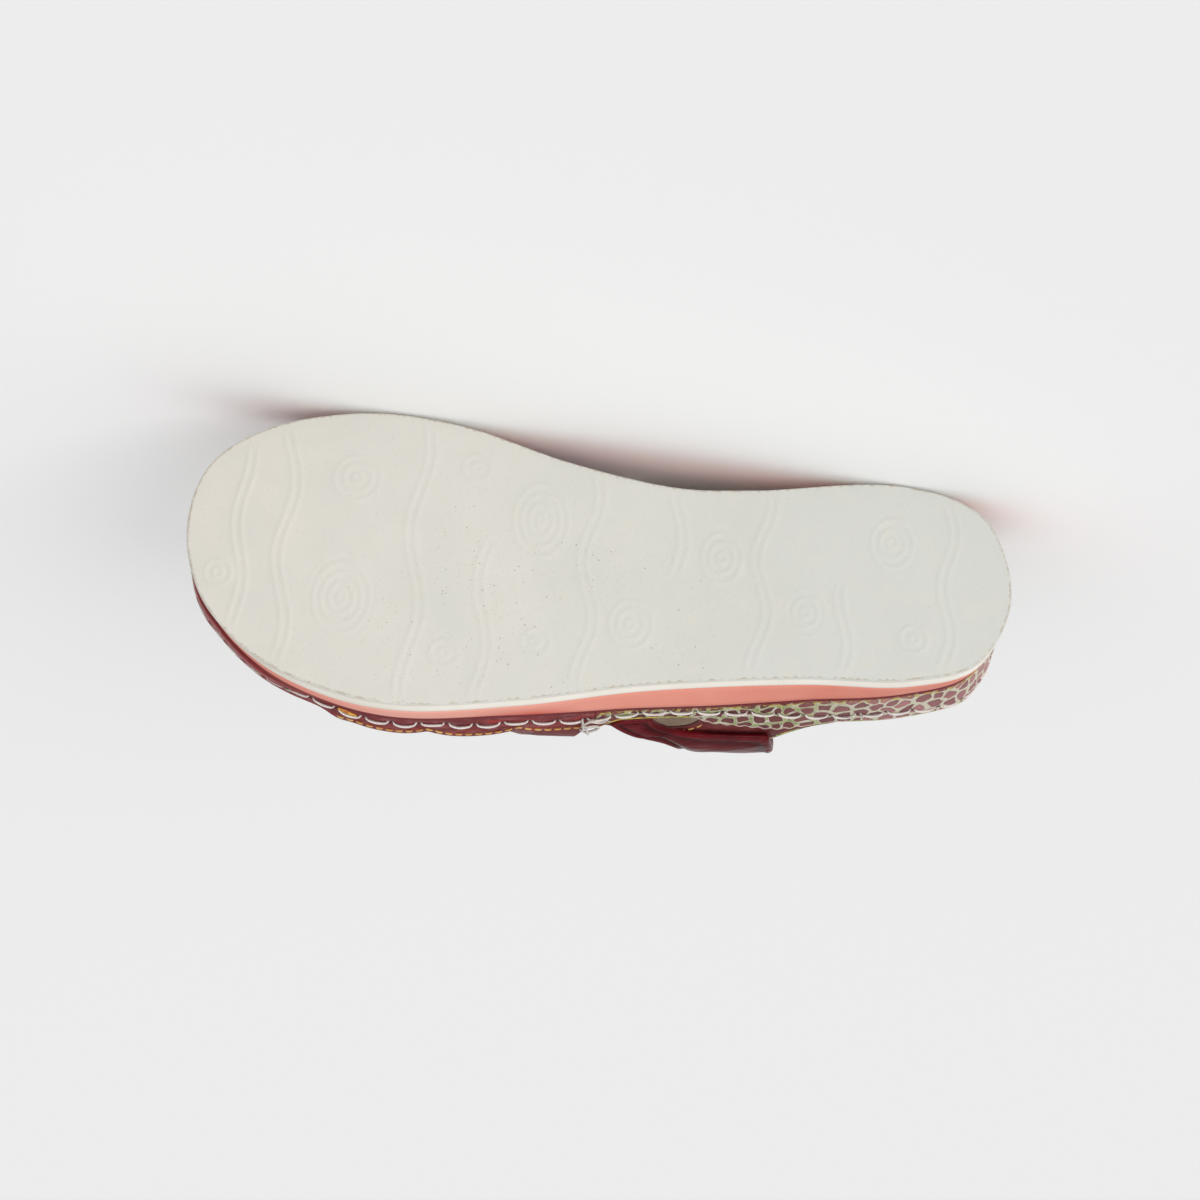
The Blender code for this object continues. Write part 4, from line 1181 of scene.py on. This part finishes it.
def sewn_on_upper(name, row, long, gap, radius):
    """A row of ochre stitches along a line that is marked on the flat leather."""
    reach = np.concatenate([[0], np.cumsum(np.linalg.norm(np.diff(row, axis=0), axis=1))])

    def line(s, dip):
        x, w = (np.interp(s, reach, row[:, k]) for k in (0, 1))
        return on_upper(x, w / HALF_ROUND, SEWN_PROUD - dip)

    points, faces, _ = rope(stitched(line, 0.6, reach[-1], long, gap), radius, 6)
    stitches = made(name, points, faces, [ochre])
    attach(stitches, "root")


around = oval(ROUND_WINDOW)
sewn_on_upper("window_stitches", np.vstack([around, around[:1]]), 2.6, 1.15, 0.27)
over_toes = front_line[np.abs(ws) < TOE_ROW] - np.array([INSIDE_FRONT, 0.0])
sewn_on_upper("toe_edge_stitches", over_toes, 2.4, 0.9, 0.25)

# ------------------------------------------------------------------ instep strap
# A padded strap of dark red patent leather, piped with a bead at its edges and stretched over
# the instep. Its lower edge is arched on the outer side, over the window, and its rear corner
# there has curled outwards.
STRAP_GAP, SEAM = 0.5, 1.0  # above the upper's leather, and above the bands
STRAP_REAR = table("z x", (30, 71.5), (60, 69.5), (95, 67))
STRAP_FRONT = {
    -1: table("z x", (30, 122.8), (37.5, 116.4), (44.2, 110.2), (50.1, 105.4), (54.7, 102.4),
              (60, 100.0), (68, 98.2), (90, 97)),
    1: table("z x", (30, 114), (45, 107), (60, 101), (90, 97)),
}
STRAP_ARCH = table(
    "x z",
    (60.0, 55.8), (70.3, 52.7), (79.5, 50.2), (90.8, 46.8), (95.0, 45.3), (99.5, 42.6),
    (103.5, 38.6), (107.0, 34.0), (108.5, 30.0), (109.0, 22.0),
)
BEAD, PAD_THICK = 1.15, 2.9
GUTTER, GUTTER_WIDE = 1.5, 1.7  # depth and width of the groove between bead and padding
FRONT_SWELL, WRINKLE = 0.25, 0.14
arch_line = fair(STRAP_ARCH, "z")
lateral, medial = np.linspace(-1, 0, 120), np.linspace(0, 1, 120)[1:]
both = np.concatenate([lateral, medial])
strap_rear = np.stack([edge_x(STRAP_REAR, both), both * HALF_ROUND], axis=1)
strap_front_x = [edge_x(STRAP_FRONT[-1], lateral), edge_x(STRAP_FRONT[1], medial)]
strap_front = np.stack([np.concatenate(strap_front_x), both * HALF_ROUND], axis=1)
near_rim, under_x = np.linspace(56, 132, 77), np.linspace(60, 109, 50)
above_rim = [marked_out(near_rim, rim_top(near_rim) + SEAM, side) for side in (-1, 1)]
under_arch = [marked_out(under_x, arch_line(under_x), -1), [(109.0, -110.0), (60.0, -110.0)]]
strap_lines = [
    (np.vstack([strap_rear, strap_front[::-1]]), 1),
    (np.vstack([above_rim[0], above_rim[1][::-1]]), 1),
    (np.vstack(under_arch), -1),
]
step = 0.62
STRAP_HEM = table(
    "way lift", (0.55, 0.0),
    *((BEAD - BEAD * math.cos(turn), STRAP_GAP + BEAD * (1 + math.sin(turn)))
      for turn in map(math.radians, (38, 15, -10, -35, -60))),
    (0.55, STRAP_GAP + 0.05),
)
strap_net = cut_sheet(np.arange(64, 124, step), np.arange(-80, 80, step), strap_lines,
                      STRAP_HEM[0].way)
strap_rear_at = fair(table("x w", *strap_rear), "x", "w")
CURL, CURL_WIDE = (-1.3, -0.3, 0.0), 2.4
CURLED, PRESSED_FLAT = (-54, -40, -26, -8), (-48, -38, -26, -14)  # between these ways round


def curled(spots):
    """How far the strap's rear edge is carried where it curls out at its outer corner."""
    behind = spots[:, 0] - strap_rear_at(spots[:, 1])
    share = stretch(spots[:, 1], *CURLED) * np.exp(-(behind / CURL_WIDE) ** 2)
    return share[:, None] * CURL


def stuffed(spots, way):
    """The strap's face: the bead round its edge, a groove, and the padded middle."""
    x, w = spots.T
    bead = BEAD * (1 + np.sqrt(np.clip(1 - ((way - BEAD) / BEAD) ** 2, 0, 1)))
    bead = np.where(way < 2 * BEAD, bead, 0)
    gutter = GUTTER * (1 - 0.8 * np.exp(-((x - strap_rear_at(w)) / 5.5) ** 2))
    pressed_flat = stretch(w, *PRESSED_FLAT) * np.exp(-((x - 103) / 8) ** 2)
    gutter = gutter * (1 - 0.75 * pressed_flat)
    middle = PAD_THICK - gutter * np.exp(-np.clip(way - 2 * BEAD, 0, None) / GUTTER_WIDE)
    middle = np.where(way > BEAD, middle, 0)
    swell = FRONT_SWELL * np.exp(-((x - 116) / 7) ** 2) * (1 - smooth_step(-52, -30, w))
    wrinkle = WRINKLE * np.sin(x * 0.45 + w * 0.10 + 1.3 * np.sin(w * 0.21))
    wrinkle = wrinkle * np.sin(w * 0.33 + x * 0.12) * np.clip((way - 2) / 3, 0, 1)
    return STRAP_GAP + np.maximum(bead, middle) + swell + wrinkle


patent, shader, where = finish_named("patent_leather", (84, 14, 22), 0.32, 0.03)
shader.inputs["Coat Roughness"].default_value = 0.07
shader.inputs["Coat IOR"].default_value = 1.45
dye(shader, coated(
    mixed(cloud(where, 90, 0.35, 0.65), (76, 12, 18), (100, 20, 26)),
    # The groove between the bead and the padding is painted darker: painted shade.
    (times(within(mark(shader, "way_in"), (1.6, 2.3), (5.0, 2.6)), 0.75), (46, 7, 12)),
))
flat_x, flat_w, _ = add(shader, "SeparateXYZ", {0: map_of(shader, "map")}).outputs
fold = worked("ABSOLUTE", worked("ADD", worked("ADD", flat_w, times(flat_x, 0.113)), 29.0))
polished = times(between(fold, 3.0, 1.0), cloud(where, 420, 0.4, 0.6), 0.3)
shader.id_data.links.new(worked("ADD", polished, 0.14), shader.inputs["Coat Weight"])
creased = cloud(stretched(where, (0.35, 1.0, 1.0)), 300, 0.3, 0.7, 2.0)
bumped(shader, creased, 0.00015)
coat = add(where, "Bump", {"Height": creased, "Distance": 0.00016, "Strength": 1.0}).outputs[0]
shader.id_data.links.new(coat, shader.inputs["Coat Normal"])

strap = leather("patent_strap", strap_net, STRAP_HEM, stuffed,
                lambda way: np.full(len(way), STRAP_GAP + 0.05), [patent], {}, curled)
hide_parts("instep_strap")
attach(strap, "root")

# ------------------------------------------------------------------ footbed
# The foot lies on a cupped bed of cork and foam, covered in grey-beige leather that is turned
# down over its edge. It is darker where a foot has pressed it.
BED_BEVEL, BED_CUP, BED_FADE = 1.1, 2.6, 12.0
BED_RUNGS = 44
TUCK = (30.0, 41.0, 206.0, 218.0)  # where the upper's foot is let in beside the bed
PRINTS = table(
    "x y long wide deep",
    (36, 1, 26, 17, 1.0), (90, -12, 34, 11, 0.6), (182, -2, 24, 27, 1.0), (226, 20, 10, 8, 0.9),
    (229, 5, 7, 5, 0.8), (225, -6, 6, 5, 0.8), (219, -16, 6, 5, 0.7), (210, -25, 6, 5, 0.7),
)
PRINT_DEPTH = 0.45


def bed_side(x, share):
    """How far out the bed's edge is; beside the instep it makes room for the upper."""
    beyond = rim_face(x, share) - RIM_WALL - GAP
    beside = foot_out(x) - UPPER_WALL - 1.5 * GAP
    return beyond + (beside - beyond) * stretch(x, *TUCK)


xs = stations(200)
base = wedge_top(xs)
brim = base + sole["bed"](xs) + sole["dish"](xs)
rings = [
    hoop(xs, bed_side(xs, 0.0), base + GAP),
    hoop(xs, bed_side(xs, 0.5), base + 0.5 * (brim - base)),
    hoop(xs, bed_side(xs, 0.8), brim - BED_BEVEL),
    hoop(xs, bed_side(xs, 0.9) - 0.3 * BED_BEVEL, brim - 0.35),
    hoop(xs, bed_side(xs, 1.0) - BED_BEVEL, brim),
]
points, faces, _, lid = built_up(rings, 3, BED_RUNGS)
x, y, _ = points[lid:].T
shares = np.tile(np.linspace(0, 1, BED_RUNGS + 1)[1:-1], len(rings[0]) // 2 - 1)
reach = np.clip(np.minimum(x / BED_FADE, (258 - x) / BED_FADE), 0, 1)
points[lid:, 2] -= sole["dish"](x) * (1 - np.abs(2 * shares - 1) ** BED_CUP) * np.sqrt(reach)
pressed = np.zeros(len(points))
for spot in PRINTS:
    far = np.hypot((x - spot.x) / spot.long, (y - spot.y) / spot.wide)
    pressed[lid:] = np.maximum(pressed[lid:], spot.deep * np.exp(-far**4))
points[:, 2] -= PRINT_DEPTH * pressed

cover, shader, where = finish_named("footbed_leather", (186, 174, 156), 0.6)
worn = times(mark(shader, "pressed"), cloud(where, 60, 0.2, 0.6), 0.75)
dye(shader, coated(
    mixed(cloud(where, 22, 0.4, 0.66), (192, 181, 164), (178, 165, 147)),
    (worn, (142, 124, 104)),
    (cloud(where, 260, 0.5, 0.8), (160, 146, 128)),
))
bumped(shader, cells(where, 1000.0)["Distance"], 0.0001)
insole = made("footbed_leather", points, faces, [cover], {"pressed": pressed})
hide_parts("footbed")
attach(insole, "root")

# ------------------------------------------------------------------ floor, light and camera
# Pale paper under soft light that comes from all round, most from the side that the tread
# faces, and a long lens that looks at the tread from a little above.
SPREAD = 12.0
corners = [(x * SPREAD, y * SPREAD, 0) for x, y in ((-1, -1), (1, -1), (1, 1), (-1, 1))]
floor_mesh = bpy.data.meshes.new("paper_floor")
floor_mesh.from_pydata(corners, [], [(0, 1, 2, 3)])
paper, _, _ = finish_named("pale_paper", (250, 250, 250), 0.9, 0.0)
floor_mesh.materials.append(paper)
floor = bpy.data.objects.new("paper_floor", floor_mesh)
bpy.context.scene.collection.objects.link(floor)

SKY_LOW, SKY_HIGH = 0.36, 0.79
SKY_FRONT = Vector((-0.25, -0.85, 0.45)).normalized()
room = bpy.data.worlds.new("soft_room")
room.use_nodes = True
sky = room.node_tree.nodes["Background"]
facing = add(sky, "VectorMath", {0: add(sky, "TexCoord").outputs["Generated"], 1: SKY_FRONT[:]},
             operation="DOT_PRODUCT").outputs["Value"]
bright = add(sky, "MapRange", {0: facing, 1: -0.3, 2: 0.9, 3: SKY_LOW, 4: SKY_HIGH},
             interpolation_type="SMOOTHSTEP").outputs[0]
room.node_tree.links.new(bright, sky.inputs["Strength"])
sky.inputs["Color"].default_value = (1.0, 1.0, 1.0, 1.0)
bpy.context.scene.world = room


def lamp(name, comes_from, strength, spread):
    """A far soft light, its strength given as what it lends a white sheet that faces it."""
    light = bpy.data.lights.new(name, "SUN")
    light.energy = strength * math.pi
    light.angle = math.radians(spread)
    made_lamp = bpy.data.objects.new(name, light)
    made_lamp.rotation_mode = "QUATERNION"
    made_lamp.rotation_quaternion = Vector(comes_from).to_track_quat("Z", "Y")
    bpy.context.scene.collection.objects.link(made_lamp)


lamp("key_light", (-0.45, -0.82, 0.31), 0.43, 34)
lamp("top_light", (-0.15, 0.42, 0.90), 0.18, 60)

LENS_AWAY, LENS_LONG, SENSOR = 1600.0, 154.368, 36.0
LENS_SHIFT = (-0.000416667, -0.0270833)
AIM = np.array([128.5, 0.0, 0.0])
SWING, DIP, ROLL = (math.radians(angle) for angle in (20.0, 4.0, 3.8))
back = np.array([math.sin(SWING) * math.sin(DIP), -math.sin(SWING) * math.cos(DIP),
                 -math.cos(SWING)])
down = np.array([0.0, -1.0, 0.0])
down = down - back * (down @ back)
down /= np.linalg.norm(down)
right = np.cross(-back, -down)
right, down = (math.cos(ROLL) * right - math.sin(ROLL) * down,
               math.sin(ROLL) * right + math.cos(ROLL) * down)
lens = bpy.data.cameras.new("camera")
lens.sensor_width, lens.lens = SENSOR, LENS_LONG
lens.shift_x, lens.shift_y = LENS_SHIFT
lens.clip_start, lens.clip_end = 0.05, 60.0
camera = bpy.data.objects.new("camera", lens)
pose = Matrix((LIE[:, :3] @ np.stack([right, -down, back], axis=1)).tolist()).to_4x4()
pose.translation = Vector(laid(AIM + back * LENS_AWAY).tolist())
camera.matrix_world = pose
bpy.context.scene.collection.objects.link(camera)
bpy.context.scene.camera = camera
bpy.context.scene.view_settings.view_transform = "Standard"
